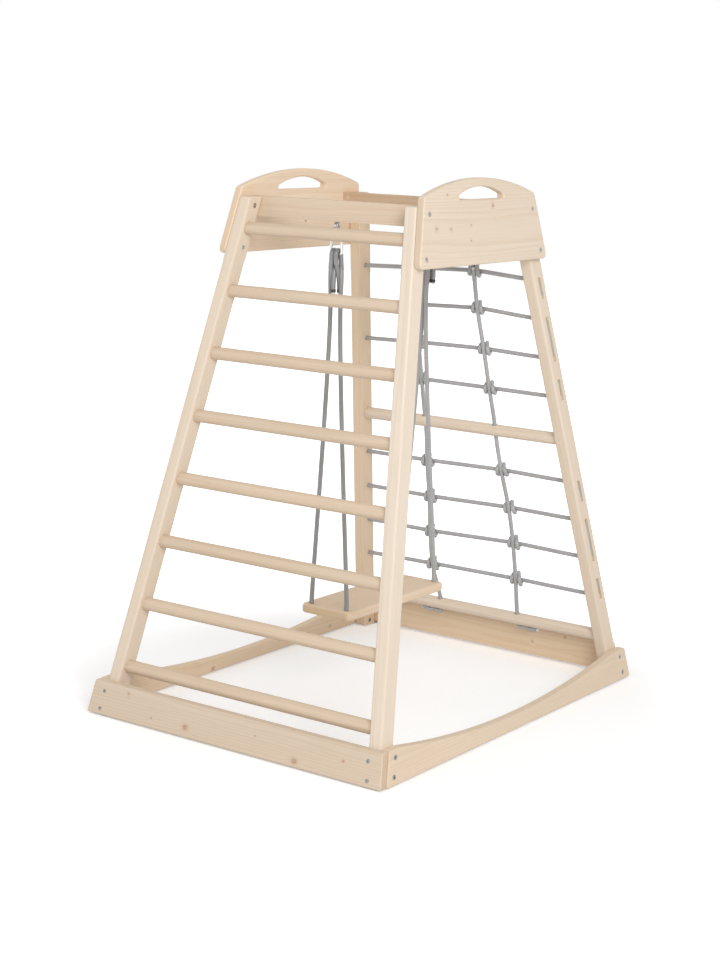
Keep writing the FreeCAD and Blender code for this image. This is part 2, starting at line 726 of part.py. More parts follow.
# End panels
PANEL_FOOT = "(Sheet.stile_head_height - Sheet.panel_foot_drop)"
PANEL_BLANK_HEAD = "(Sheet.stile_head_height + Sheet.panel_crown_rise + Sheet.cut_overrun)"
for side_name, side in SIDES.items():
    label = f"{side_name}_end_panel"

    def across(z, side=side):
        return mirrored(side, width_text(z), f"{width_text(z)} + Sheet.panel_thickness")

    def along(z):
        return f"-{depth_text(z)}", depth_text(z)

    blank = leaning_block(label + "_blank", PANEL_FOOT, PANEL_BLANK_HEAD, across, along)
    crown = bar_across(label + "_crown", FULL_WIDTH, "Sheet.panel_crown_radius", 0,
                       panel_crown - S.panel_crown_radius)
    crowned = boolean("Part::Common", label + "_crowned", blank, crown)
    cornered = rounded(label + "_cornered", crowned, S.panel_corner_round, runs_across)
    grip_box = made("Part::Box", label + "_grip_box", Length=FULL_WIDTH, Width="Sheet.grip_width")
    bind(grip_box, Height="Sheet.grip_rise + Sheet.cut_overrun")
    doc.recompute()
    corner = Vector(-grip_box.Length.Value / 2, -S.grip_width / 2, grip_foot)
    grip_box.Placement = FreeCAD.Placement(corner, FreeCAD.Rotation())
    grip_arch = bar_across(label + "_grip_arch", FULL_WIDTH, "Sheet.grip_crown_radius", 0,
                           grip_foot + S.grip_rise - S.grip_crown_radius)
    grip_blank = boolean("Part::Common", label + "_grip_blank", grip_box, grip_arch)
    grip = rounded(label + "_grip", grip_blank, S.grip_corner_round,
                   lambda edge: edge.BoundBox.XLength > S.grip_width)
    gripped = boolean("Part::Cut", label + "_gripped", cornered, grip)
    soft = rounded(label + "_soft", gripped, S.panel_edge_round,
                   lambda edge: on_width_face(edge, S.panel_thickness) or on_width_face(edge, 0))
    node(label, cut_by(label, soft, plate_tools[label]))

# Foot glides
for end_name, end in (("front", -1), ("rear", 1)):
    for side_name, side in SIDES.items():
        label = f"{end_name}_glide_{side_name}"
        glide = made("Part::Cylinder", label, Radius="Sheet.glide_diameter / 2", Height="Sheet.glide_height")
        x = side * (S.foot_half_width - S.glide_inset)
        glide.Placement = FreeCAD.Placement(Vector(x, end * S.foot_half_depth, 0), FreeCAD.Rotation())
        node(label, glide)

# Upright net ropes and the hitches that hold them to the rows
crossing_gap = S.rope_diameter + S.rope_touch
rung_ease = S.rung_diameter / 2 + S.ease_reach
for side_name, side in SIDES.items():
    crossings = [crossing(row, side) for row in range(2 * NET_ROW_COUNT)]
    middle = S.net_middle_rung_height
    bottom = S.net_bottom_rung_height
    middle_x = side * middle_rung_hole_share * (half_width(middle) - S.stile_width)
    bottom_x = side * bottom_rung_hole_share * (half_width(bottom) - S.stile_width)
    tail_z = bottom - S.rung_diameter / 2 - S.rope_diameter / 2 - S.rope_hole_slack
    top_x, top_z = crossings[0]
    corners = [(net_point(top_x, top_z + S.rope_diameter, crossing_gap), 0)]
    for x, z in crossings[:NET_ROW_COUNT]:
        corners.append((net_point(x, z, crossing_gap), S.kink_reach))
    corners.append((net_point(middle_x, middle + rung_ease), S.ease_reach))
    corners.append((net_point(middle_x, middle - rung_ease), S.ease_reach))
    for x, z in crossings[NET_ROW_COUNT:]:
        corners.append((net_point(x, z, crossing_gap), S.kink_reach))
    corners.append((net_point(bottom_x, bottom + rung_ease), S.ease_reach))
    corners.append((net_point(bottom_x, tail_z), S.rope_turn_radius))
    corners.append((net_point(bottom_x + side * S.net_tail_length, tail_z), 0))
    label = f"net_rope_{side_name}"
    node(label, rope_tube(label, corners, rope_radius))

    hitches = []
    for row, (x, z) in enumerate(crossings):
        knot = net_point(x, z)
        mouth = net_point(row_mouth(row, side), net_row_height(row))
        partner = net_point(*crossing(row, -side))
        for target in (mouth, partner):
            run = (target - knot).normalize()
            turn = made("Part::Torus", f"{side_name}_hitch_{len(hitches)}")
            bind(turn, Radius1="Sheet.rope_diameter + Sheet.rope_touch", Radius2="Sheet.rope_diameter / 2")
            turn.Placement = facing(knot + run * (S.rope_diameter + S.hitch_gap), run)
            hitches.append(turn)
    label = f"{side_name}_net_hitches"
    node(label, grouped(label, hitches))

# Swing seat
seat_foot = S.seat_head_height - S.seat_thickness
board = made("Part::Box", "seat_blank", Length="Sheet.seat_width", Width="Sheet.seat_length")
bind(board, Height="Sheet.seat_thickness")
seat_corner = Vector(-S.seat_width / 2, -S.seat_length / 2, seat_foot)
board.Placement = FreeCAD.Placement(seat_corner, FreeCAD.Rotation())
seat_cornered = rounded("seat_cornered", board, S.seat_corner_round,
                        lambda edge: edge.BoundBox.ZLength > S.seat_thickness - S.fit_gap)
seat_soft = rounded("seat_soft", seat_cornered, S.seat_edge_round,
                    lambda edge: edge.BoundBox.ZLength < S.fit_gap)
seat_tools = []

# Swing ropes, snap hooks and screw eyes
hook_radius = S.hook_wire / 2
eye_wire_radius = S.eye_wire / 2
loop_radius = rope_radius + hook_radius + S.rope_touch / 2
strand_x = rope_radius + S.rope_touch / 2
hook_half = S.rope_diameter + 1.5 * S.rope_touch + hook_radius
eye_z = rail_foot - S.eye_collar_height / 2 - eye_wire_radius - S.eye_radius
pivot_z = eye_z - S.eye_radius
hook_head = pivot_z + eye_wire_radius + S.swing_gap + hook_radius
hook_foot = hook_head - S.hook_reach
groove_z = seat_foot + S.seat_groove_sink
hole_x = S.seat_width / 2 - S.seat_hole_side_inset
hole_reach = S.seat_length / 2 - S.seat_hole_end_inset
pin_z = hook_foot + S.gate_pin_rise
print(f"swing pivot height {pivot_z:.2f}")


def band_foot(tail_foot):
    """The lower end of the band on a rope tail."""
    return tail_foot + S.rope_diameter / 2


def swing_rope_corners(end, eye_y):
    """One rope: tail, over the hook, down to the seat, under it and up again to the other tail."""
    hole_y = end * hole_reach
    tail_foot = hook_foot - S.swing_tail_length
    ease = 2 * S.ease_reach
    run_head = hook_foot - ease
    run_foot = S.seat_head_height + ease
    tail_spacing = S.rope_diameter + S.fit_gap + S.band_wall + S.rope_touch

    def half(side, long_way):
        run_y = eye_y + long_way * loop_radius
        tail_y = eye_y - long_way * loop_radius
        beside_tail = []
        for z in (tail_foot, band_foot(tail_foot) + S.band_length):
            beside_tail.append(run_y + (hole_y - run_y) * (run_head - z) / (run_head - run_foot))
        return_y = min(beside_tail, key=lambda y: y * long_way) - long_way * tail_spacing
        x = side * strand_x
        return [
            (Vector(x, return_y, tail_foot), 0),
            (Vector(x, return_y, hook_foot - 2 * ease), S.ease_reach),
            (Vector(x, tail_y, hook_foot - S.ease_reach), S.ease_reach / 2),
            (Vector(x, tail_y, hook_foot + loop_radius), loop_radius),
            (Vector(x, run_y, hook_foot + loop_radius), loop_radius),
            (Vector(x, run_y, run_head), S.ease_reach),
            (Vector(side * hole_x, hole_y, run_foot), S.ease_reach),
            (Vector(side * hole_x, hole_y, groove_z), S.rope_turn_radius),
        ]

    return half(-1, end) + half(1, -end)[::-1]


def hook_wire_path(eye_y):
    """The open outline of a snap hook, from its nose round to the foot of its gate."""
    def at(x, z):
        return Vector(x, eye_y, z)

    crown_z = hook_head - hook_half
    low = hook_foot + S.hook_corner_radius
    inset = hook_half - S.hook_corner_radius
    slant = S.hook_corner_radius * math.sqrt(0.5)
    nose = at(-hook_half, pin_z + S.gate_span)
    shoulder = at(-hook_half, pin_z - hook_radius - S.swing_gap)
    edges = [
        Part.LineSegment(nose, at(-hook_half, crown_z)),
        Part.Arc(at(-hook_half, crown_z), at(0, hook_head), at(hook_half, crown_z)),
        Part.LineSegment(at(hook_half, crown_z), at(hook_half, low)),
        Part.Arc(at(hook_half, low), at(inset + slant, low - slant), at(inset, hook_foot)),
        Part.LineSegment(at(inset, hook_foot), at(-inset, hook_foot)),
        Part.Arc(at(-inset, hook_foot), at(-inset - slant, low - slant), at(-hook_half, low)),
        Part.LineSegment(at(-hook_half, low), shoulder),
    ]
    return Part.Wire([edge.toShape() for edge in edges]), nose


def cross_pin(name, radius_text, length_text, place):
    """A short cylinder along Y, centred on a point."""
    pin = made("Part::Cylinder", name, Radius=radius_text, Height=length_text)
    doc.recompute()
    pin.Placement = facing(place - Vector(0, pin.Height.Value / 2, 0), Vector(0, 1, 0))
    return pin


WIRE_RADIUS = "Sheet.hook_wire / 2"
TANG_RADIUS = "Sheet.hook_wire / 2 - 2 * Sheet.fit_gap"
FORK_LENGTH = "Sheet.hook_wire - 4 * Sheet.fit_gap"
GATE_BORE_RADIUS = "Sheet.gate_pin_diameter / 2 + Sheet.swing_gap"
for name, end in (("front", -1), ("rear", 1)):
    eye_y = end * (half_depth(rail_foot) - S.stile_depth - S.rail_thickness / 2)
    corners = swing_rope_corners(end, eye_y)
    label = f"{name}_swing_rope"
    node(label, rope_tube(label, corners, rope_radius))
    seat_tools.append(rope_tube(label + "_channel", corners, channel_radius))
    mouth = made("Part::Box", label + "_mouth")
    bind(mouth, Length="Sheet.seat_width - 2 * Sheet.seat_hole_side_inset")
    bind(mouth, Width="Sheet.rope_diameter + 2 * Sheet.rope_hole_slack")
    bind(mouth, Height="Sheet.seat_groove_sink + Sheet.cut_overrun")
    corner = Vector(-hole_x, end * hole_reach - channel_radius, seat_foot - S.cut_overrun)
    mouth.Placement = FreeCAD.Placement(corner, FreeCAD.Rotation())
    seat_tools.append(mouth)

    bands = []
    for number, tail_end in enumerate((corners[0][0], corners[-1][0])):
        sleeve = made("Part::Cylinder", f"{name}_band_{number}_sleeve", Height="Sheet.band_length")
        bind(sleeve, Radius="Sheet.rope_diameter / 2 + Sheet.fit_gap + Sheet.band_wall")
        core = made("Part::Cylinder", f"{name}_band_{number}_core", Height="Sheet.band_length * 2")
        bind(core, Radius="Sheet.rope_diameter / 2 + Sheet.fit_gap")
        base = Vector(tail_end.x, tail_end.y, band_foot(tail_end.z))
        sleeve.Placement = FreeCAD.Placement(base, FreeCAD.Rotation())
        core.Placement = FreeCAD.Placement(base - Vector(0, 0, S.band_length / 2), FreeCAD.Rotation())
        bands.append(boolean("Part::Cut", f"{name}_band_{number}", sleeve, core))
    node(f"{name}_rope_bands", grouped(f"{name}_rope_bands", bands))

    ring = made("Part::Torus", f"{name}_eye_ring", Radius1="Sheet.eye_radius", Radius2="Sheet.eye_wire / 2")
    ring.Placement = facing(Vector(0, eye_y, eye_z), Vector(1, 0, 0))
    shank = made("Part::Cylinder", f"{name}_eye_shank", Radius="Sheet.eye_shank_diameter / 2")
    bind(shank, Height="Sheet.eye_collar_height + Sheet.eye_bite")
    shank.Placement = FreeCAD.Placement(Vector(0, eye_y, rail_foot - S.eye_collar_height), FreeCAD.Rotation())
    collar = made("Part::Cylinder", f"{name}_eye_collar", Radius="Sheet.eye_collar_diameter / 2")
    bind(collar, Height="Sheet.eye_collar_height")
    collar.Placement = shank.Placement
    node(f"{name}_screw_eye", joined(f"{name}_screw_eye", [ring, shank, collar]))

    path, nose = hook_wire_path(eye_y)
    section = Part.Wire(Part.makeCircle(hook_radius, nose, Vector(0, 0, 1)))
    wire = doc.addObject("Part::Feature", f"{name}_hook_wire")
    wire.Shape = path.makePipeShell([section], True, False)
    pin_place = Vector(-hook_half, eye_y, pin_z)
    tang = made("Part::Box", f"{name}_hook_tang", Length=f"2 * ({TANG_RADIUS})", Width="Sheet.gate_tang")
    bind(tang, Height=f"{WIRE_RADIUS} + 2 * Sheet.swing_gap")
    doc.recompute()
    corner = pin_place - Vector(tang.Length.Value / 2, S.gate_tang / 2, tang.Height.Value)
    tang.Placement = FreeCAD.Placement(corner, FreeCAD.Rotation())
    knuckle = cross_pin(f"{name}_hook_knuckle", TANG_RADIUS, "Sheet.gate_tang", pin_place)
    pin = cross_pin(f"{name}_hook_pin", "Sheet.gate_pin_diameter / 2", FORK_LENGTH, pin_place)
    node(f"{name}_snap_hook", joined(f"{name}_snap_hook", [wire, tang, knuckle, pin]))

    stem = made("Part::Cylinder", f"{name}_gate_stem", Radius=WIRE_RADIUS)
    bind(stem, Height="Sheet.gate_span - Sheet.swing_gap")
    stem.Placement = FreeCAD.Placement(pin_place, FreeCAD.Rotation())
    fork = cross_pin(f"{name}_gate_fork", WIRE_RADIUS, FORK_LENGTH, pin_place)
    slot = made("Part::Box", f"{name}_gate_slot", Length="2 * Sheet.hook_wire")
    bind(slot, Width="Sheet.gate_tang + 2 * Sheet.swing_gap", Height="Sheet.hook_wire + Sheet.cut_overrun")
    doc.recompute()
    corner = Vector(S.hook_wire, slot.Width.Value / 2, slot.Height.Value - hook_radius)
    slot.Placement = FreeCAD.Placement(pin_place - corner, FreeCAD.Rotation())
    bore = cross_pin(f"{name}_gate_bore", GATE_BORE_RADIUS, "2 * Sheet.hook_wire", pin_place)
    solid = joined(f"{name}_gate_solid", [stem, fork])
    node(f"{name}_hook_gate", cut_by(f"{name}_hook_gate", solid, [slot, bore]))

seat = seat_soft
for number, tool in enumerate(seat_tools):
    seat = boolean("Part::Cut", f"seat_cut_{number}", seat, tool)
node("swing_seat", seat)

# Every object sound before anything is written
doc.recompute()
for thing in doc.Objects:
    if "Invalid" in thing.State or "Error" in thing.State:
        raise RuntimeError(f"{thing.Name} has state {thing.State}")
    if hasattr(thing, "Shape") and (thing.Shape.isNull() or not thing.Shape.isValid()):
        raise RuntimeError(f"{thing.Name} has no valid shape")

os.makedirs("parts", exist_ok=True)
for thing in NODES:
    thing.Shape.exportStep(f"parts/{thing.Label}.step")
print(f"{len(NODES)} sub-parts written")
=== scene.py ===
import math
import random

import bpy
from mathutils import Matrix, Vector


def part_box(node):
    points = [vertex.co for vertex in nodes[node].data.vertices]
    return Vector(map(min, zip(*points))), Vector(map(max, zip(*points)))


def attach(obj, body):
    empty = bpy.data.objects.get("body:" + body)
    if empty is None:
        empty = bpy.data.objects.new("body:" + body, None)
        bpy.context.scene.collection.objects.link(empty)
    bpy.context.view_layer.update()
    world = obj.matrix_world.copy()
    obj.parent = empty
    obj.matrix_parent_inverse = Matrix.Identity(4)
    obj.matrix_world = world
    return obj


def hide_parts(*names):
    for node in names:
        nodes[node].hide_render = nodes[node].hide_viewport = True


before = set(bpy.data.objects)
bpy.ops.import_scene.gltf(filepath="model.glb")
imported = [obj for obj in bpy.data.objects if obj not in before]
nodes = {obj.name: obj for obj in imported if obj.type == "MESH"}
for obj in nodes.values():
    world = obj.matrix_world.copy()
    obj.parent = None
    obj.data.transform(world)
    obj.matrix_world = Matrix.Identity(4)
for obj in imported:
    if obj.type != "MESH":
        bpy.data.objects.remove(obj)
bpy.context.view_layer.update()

# The lean of the tower's sides, as in the model, and the net's own axes
LEAN_ACROSS = 0.12247
LEAN_ALONG = 0.24713
NET_INWARD = Vector((0, -1, -LEAN_ALONG)).normalized()
NET_UPWARD = Vector((0, -LEAN_ALONG, 1)).normalized()

# Ropes: lengths in metres, and the counts and limits that their tubes are made with
ROPE_RADIUS = 0.005
BRAID_DEPTH = 0.00024
BRAID_CELLS = 10
BRAID_STEP = 0.0016
SPLINE_STEPS = 24
TIP_LENGTH = 0.004
TIP_ROUNDING = ROPE_RADIUS / 2
TIP_FLATNESS = 0.08
NEARLY_PARALLEL = 0.8

# The routes' control points, in metres
UPPER_NET_ROUTE = [
    (0.2467, 0.2523, 0.8913), (0.2423, 0.2434, 0.9273), (0.2099, 0.2434, 0.9273),
    (0.0979, 0.2412, 0.9364), (0.0739, 0.2411, 0.9369), (-0.0640, 0.2421, 0.9327), (-0.0880, 0.2423, 0.9318),
    (-0.2099, 0.2434, 0.9273), (-0.2423, 0.2434, 0.9273), (-0.2461, 0.2512, 0.8960),
    (-0.2493, 0.2574, 0.8704), (-0.2531, 0.2652, 0.8391), (-0.2207, 0.2652, 0.8391),
    (-0.0899, 0.2639, 0.8446), (-0.0659, 0.2637, 0.8456), (0.0730, 0.2624, 0.8507), (0.0970, 0.2625, 0.8501),
    (0.2207, 0.2652, 0.8391), (0.2531, 0.2652, 0.8391), (0.2569, 0.2730, 0.8078),
    (0.2601, 0.2792, 0.7822), (0.2639, 0.2870, 0.7509), (0.2315, 0.2870, 0.7509),
    (0.1050, 0.2857, 0.7564), (0.0810, 0.2856, 0.7568), (-0.0729, 0.2861, 0.7549), (-0.0969, 0.2862, 0.7545),
    (-0.2315, 0.2870, 0.7509), (-0.2639, 0.2870, 0.7509), (-0.2677, 0.2948, 0.7196),
    (-0.2709, 0.3010, 0.6940), (-0.2747, 0.3088, 0.6627), (-0.2423, 0.3088, 0.6627),
    (-0.0989, 0.3081, 0.6659), (-0.0749, 0.3080, 0.6661), (0.0849, 0.3083, 0.6648), (0.1089, 0.3083, 0.6646),
    (0.2423, 0.3088, 0.6627), (0.2747, 0.3088, 0.6627), (0.2703, 0.2999, 0.6987),
]
LOWER_NET_ROUTE = [
    (0.3033, 0.3665, 0.4294), (0.2989, 0.3576, 0.4654), (0.2665, 0.3576, 0.4654),
    (0.1198, 0.3566, 0.4695), (0.0958, 0.3566, 0.4696), (-0.0850, 0.3575, 0.4661), (-0.1090, 0.3575, 0.4659),
    (-0.2665, 0.3576, 0.4654), (-0.2989, 0.3576, 0.4654), (-0.3028, 0.3655, 0.4341),
    (-0.3059, 0.3716, 0.4080), (-0.3098, 0.3795, 0.3767), (-0.2774, 0.3795, 0.3767),
    (-0.1130, 0.3799, 0.3753), (-0.0890, 0.3798, 0.3754), (0.1079, 0.3789, 0.3795), (0.1319, 0.3788, 0.3796),
    (0.2774, 0.3795, 0.3767), (0.3098, 0.3795, 0.3767), (0.3136, 0.3873, 0.3454),
    (0.3168, 0.3936, 0.3192), (0.3206, 0.4014, 0.2879), (0.2882, 0.4014, 0.2879),
    (0.1338, 0.4002, 0.2927), (0.1098, 0.4003, 0.2926), (-0.0981, 0.4019, 0.2862), (-0.1221, 0.4019, 0.2860),
    (-0.2882, 0.4014, 0.2879), (-0.3206, 0.4014, 0.2879), (-0.3244, 0.4092, 0.2566),
    (-0.3277, 0.4156, 0.2305), (-0.3315, 0.4234, 0.1992), (-0.2991, 0.4234, 0.1992),
    (-0.1268, 0.4229, 0.2011), (-0.1028, 0.4229, 0.2014), (0.1070, 0.4226, 0.2022), (0.1310, 0.4227, 0.2020),
    (0.2991, 0.4234, 0.1992), (0.3315, 0.4234, 0.1992), (0.3271, 0.4145, 0.2352),
]
LEFT_NET_ROUTE = [
    (-0.0761, 0.2297, 0.9399), (-0.0761, 0.2322, 0.9299), (-0.0780, 0.2538, 0.8426),
    (-0.0848, 0.2761, 0.7524), (-0.0869, 0.2980, 0.6637), (-0.0960, 0.3267, 0.5903),
    (-0.0960, 0.3396, 0.5383), (-0.0972, 0.3475, 0.4634), (-0.1010, 0.3699, 0.3727),
    (-0.1102, 0.3919, 0.2834), (-0.1149, 0.4129, 0.1988), (-0.1079, 0.4414, 0.1263),
    (-0.1079, 0.4478, 0.1007), (-0.1079, 0.4527, 0.0797), (-0.1210, 0.4500, 0.0797),
    (-0.1290, 0.4550, 0.0850), (-0.1400, 0.4500, 0.0770), (-0.1500, 0.4550, 0.0840),
    (-0.1640, 0.4520, 0.0810),
]
RIGHT_NET_ROUTE = [
    (0.0859, 0.2285, 0.9448), (0.0859, 0.2310, 0.9348), (0.0851, 0.2523, 0.8486),
    (0.0929, 0.2756, 0.7544), (0.0969, 0.2983, 0.6622), (0.0960, 0.3267, 0.5903),
    (0.0960, 0.3396, 0.5383), (0.1079, 0.3465, 0.4673), (0.1199, 0.3688, 0.3772),
    (0.1218, 0.3902, 0.2905), (0.1192, 0.4126, 0.1998), (0.1079, 0.4414, 0.1263),
    (0.1079, 0.4478, 0.1007), (0.1079, 0.4527, 0.0797), (0.1210, 0.4500, 0.0797), (0.1290, 0.4550, 0.0850),
    (0.1400, 0.4500, 0.0770), (0.1500, 0.4550, 0.0840), (0.1640, 0.4520, 0.0810),
]
FRONT_SWING_ROUTE = [
    (0.0005, -0.1864, 0.9033), (-0.0010, -0.1850, 0.9450), (-0.0052, -0.1705, 0.9720),
    (-0.0052, -0.1705, 0.9954), (-0.0052, -0.1868, 0.9954), (-0.0060, -0.1868, 0.9720),
    (-0.0110, -0.1830, 0.9450), (-0.0090, -0.1795, 0.8600), (-0.0210, -0.1760, 0.6200),
    (-0.0460, -0.1700, 0.2540), (-0.0460, -0.1700, 0.2330), (-0.0460, -0.1700, 0.2130),
    (-0.0260, -0.1700, 0.2130), (0.0260, -0.1700, 0.2130), (0.0460, -0.1700, 0.2130),
    (0.0460, -0.1700, 0.2330), (0.0460, -0.1700, 0.2540),
    (0.0235, -0.1750, 0.6200), (0.0155, -0.1815, 0.8600), (0.0165, -0.1795, 0.9450),
    (0.0068, -0.1700, 0.9720), (0.0052, -0.1705, 0.9954), (0.0052, -0.1868, 0.9954),
    (0.0040, -0.1868, 0.9720), (0.0075, -0.1765, 0.9450), (0.0085, -0.1750, 0.9033),
]
REAR_SWING_ROUTE = [
    (-0.0045, 0.1880, 0.9033), (-0.0045, 0.1880, 0.9393), (-0.0052, 0.1868, 0.9753),
    (-0.0052, 0.1868, 0.9954), (-0.0052, 0.1705, 0.9954), (-0.0052, 0.1705, 0.9633),
    (-0.0090, 0.1760, 0.8600), (-0.0215, 0.1715, 0.6200),
    (-0.0460, 0.1700, 0.2540), (-0.0460, 0.1700, 0.2330), (-0.0460, 0.1700, 0.2130),
    (-0.0260, 0.1700, 0.2130), (0.0260, 0.1700, 0.2130), (0.0460, 0.1700, 0.2130),
    (0.0460, 0.1700, 0.2330), (0.0460, 0.1700, 0.2540), (0.0150, 0.1695, 0.6200), (-0.0010, 0.1690, 0.8600),
    (0.0052, 0.1705, 0.9633), (0.0052, 0.1705, 0.9954), (0.0052, 0.1868, 0.9954),
    (0.0052, 0.1868, 0.9753), (0.0062, 0.1880, 0.9393), (0.0062, 0.1880, 0.9033),
]

# The dark bindings near the ends of the swing ropes: their middles, and their outline's radii and heights
FRONT_BANDS = [(0.0003, -0.1862, 0.9105), (0.0083, -0.1753, 0.9105)]
REAR_BANDS = [(-0.0045, 0.1880, 0.9105), (0.0062, 0.1880, 0.9105)]
BAND_OUTLINE = [(0.0046, -0.0034), (0.0053, -0.0031), (0.0055, -0.0024),
                (0.0055, 0.0024), (0.0053, 0.0031), (0.0046, 0.0034)]
BAND_SIDES = 28

# The turns of an upright rope round a row: along the row, inward and up from their crossing, in metres,
# with a tilt in degrees and a slack in metres that differ at each crossing
HITCH_TILT = 7
HITCH_SLACK = 0.0007
LEFT_HITCH_SEED = 3
RIGHT_HITCH_SEED = 8
HITCH_ROUTE = [
    (-0.0160, -0.0200, -0.0100), (-0.0125, 0.0105, -0.0105), (-0.0095, 0.0105, 0.0105),
    (-0.0120, -0.0105, 0.0105), (0.0030, -0.0105, -0.0105), (0.0125, 0.0105, -0.0105),
    (0.0085, 0.0105, 0.0105), (-0.0080, -0.0200, 0.0105),
]
LEFT_CROSSINGS = [
    (-0.0761, 0.2422, 0.9323), (-0.0780, 0.2638, 0.8451), (-0.0848, 0.2861, 0.7548),
    (-0.0869, 0.3080, 0.6662), (-0.0972, 0.3575, 0.4659), (-0.1010, 0.3799, 0.3752),
    (-0.1102, 0.4019, 0.2859), (-0.1149, 0.4229, 0.2013),
]
RIGHT_CROSSINGS = [
    (0.0859, 0.2410, 0.9373), (0.0851, 0.2623, 0.8511), (0.0929, 0.2856, 0.7569),
    (0.0969, 0.3083, 0.6647), (0.1079, 0.3565, 0.4698), (0.1199, 0.3788, 0.3797),
    (0.1218, 0.4002, 0.2930), (0.1192, 0.4226, 0.2022),
]


# Most values of a noise lie between these; a mix node's colour sockets by number
NOISE_LOW = 0.3
NOISE_HIGH = 0.7
MIX_COLOURS = (6, 7)
MIX_RESULT = 2


# Building materials from nodes
def put(tree, kind, inputs=(), **settings):
    """Add a node, set it up, and link or set its inputs by name or number."""
    made = tree.nodes.new(kind)
    for key, value in settings.items():
        setattr(made, key, value)
    for key, value in dict(inputs).items():
        if isinstance(value, bpy.types.NodeSocket):
            tree.links.new(value, made.inputs[key])
        else:
            made.inputs[key].default_value = value
    return made


def calc(tree, operation, *terms):
    return put(tree, "ShaderNodeMath", enumerate(terms), operation=operation).outputs[0]


def vector_calc(tree, operation, *terms):
    made = put(tree, "ShaderNodeVectorMath", enumerate(terms), operation=operation)
    scalar = operation in ("DOT_PRODUCT", "LENGTH", "DISTANCE")
    return made.outputs["Value" if scalar else "Vector"]


def noise(tree, vector, scale, detail=2.0, output="Fac"):
    made = put(tree, "ShaderNodeTexNoise", {"Vector": vector, "Scale": scale, "Detail": detail})
    return made.outputs[output]


def ramp(tree, factor, stops):
    """A colour ramp through (place, colour) stops."""
    made = put(tree, "ShaderNodeValToRGB", {"Fac": factor})
    elements = made.color_ramp.elements
    while len(elements) < len(stops):
        elements.new(1.0)
    for element, (place, colour) in zip(elements, stops):
        element.position = place
        element.color = (*colour, 1)
    return made.outputs["Color"]


def mixed(tree, factor, first, second, blend="MIX"):
    """Two colours mixed or multiplied by a factor."""
    made = put(tree, "ShaderNodeMix", {0: factor}, data_type="RGBA", blend_type=blend)
    for number, value in zip(MIX_COLOURS, (first, second)):
        if isinstance(value, bpy.types.NodeSocket):
            tree.links.new(value, made.inputs[number])
        else:
            made.inputs[number].default_value = (*value, 1)
    return made.outputs[MIX_RESULT]


def spread(tree, factor, low, high, start=0.0, stop=1.0, smooth=False):
    """Map start..stop to low..high."""
    made = put(tree, "ShaderNodeMapRange", {"Value": factor, 1: start, 2: stop, 3: low, 4: high})
    made.interpolation_type = "SMOOTHSTEP" if smooth else "LINEAR"
    return made.outputs[0]


def toned(tree, colour, factor, low):
    """The colour, tinted by low where the factor is small."""
    tone = ramp(tree, factor, [(NOISE_LOW, low), (NOISE_HIGH, (1, 1, 1))])
    return mixed(tree, 1.0, colour, tone, "MULTIPLY")


def blank_material(name):
    """A new material, its node tree and its surface shader."""
    material = bpy.data.materials.new(name)
    material.use_nodes = True
    tree = material.node_tree
    return material, tree, tree.nodes["Principled BSDF"]


def bumped(tree, shader, height, strength, distance):
    made = put(tree, "ShaderNodeBump", {"Height": height, "Strength": strength, "Distance": distance})
    tree.links.new(made.outputs["Normal"], shader.inputs["Normal"])


# Wood: growth rings round a pith line, fibres along it, and knots
EARLY_WOOD = (0.835, 0.715, 0.588)
LATE_WOOD = (0.745, 0.590, 0.444)
KNOT_HEART = (0.42, 0.255, 0.16)
KNOT_EDGE = (0.58, 0.40, 0.28)
RING_SPACING = 0.0042
RING_WANDER = 0.016
RING_TONES = [(0.0, 0.16), (0.10, 0.0), (0.45, 0.10), (0.86, 0.92), (0.93, 1.0), (1.0, 0.16)]
LATE_SHARES = (0.1, 0.85)
YEAR_SCALE = 55.0
YEAR_SHIFT = 2.2

# Knots: stretch along the grain, the rings' swelling in metres, the shares of halo and heart,
# and where each starts and stops, in knot radii
KNOT_STRETCH = 1.25
KNOT_SWELL = 0.005
SWELL_REACH = (0.6, 4.0)
HALO_SHARE = 0.5
HALO_REACH = (0.8, 2.0)
HEART_SHARE = 0.85
HEART_REACH = (0.55, 1.0)

# Shares of a seed's shift, and scales of the patterns per metre: along the grain, across it and in depth
SEED_SHARES = (1.0, 0.37, 0.61)
WANDER_SCALE = (1.6, 9.0, 9.0)
FIBRE_SCALE = (9.0, 950.0, 950.0)
STREAK_SCALE = (2.2, 75.0, 75.0)
CLOUD_SCALE = (1.3, 7.0, 7.0)
RAY_SCALE = (300.0, 300.0, 60.0)

# Tones that multiply the wood's colour, and its surface; a bump is its strength and its depth in metres
FIBRE_TONE = (0.93, 0.915, 0.89)
CLOUD_TONE = (0.955, 0.935, 0.90)
END_TONE = (0.90, 0.86, 0.80)
END_FACING = (0.75, 0.95)
WOOD_ROUGHNESS = 0.50
FIBRE_ROUGHNESS = 0.16
RING_ROUGHNESS = -0.08
WOOD_SPECULAR = 0.38
RING_RELIEF = 0.6
WOOD_BUMP = (0.28, 0.0004)


def knot_distance(tree, along, across, knots):
    """The distance from the nearest knot, in knot radii."""
    nearest = None
    for knot_along, knot_across, radius in knots:
        length = radius * KNOT_STRETCH
        beside = calc(tree, "MULTIPLY_ADD", along, 1 / length, -knot_along / length)
        aside = calc(tree, "MULTIPLY_ADD", across, 1 / radius, -knot_across / radius)
        flat = put(tree, "ShaderNodeCombineXYZ", {0: beside, 1: aside, 2: 0.0}).outputs[0]
        far = vector_calc(tree, "LENGTH", flat)
        nearest = far if nearest is None else calc(tree, "MINIMUM", nearest, far)
    return nearest


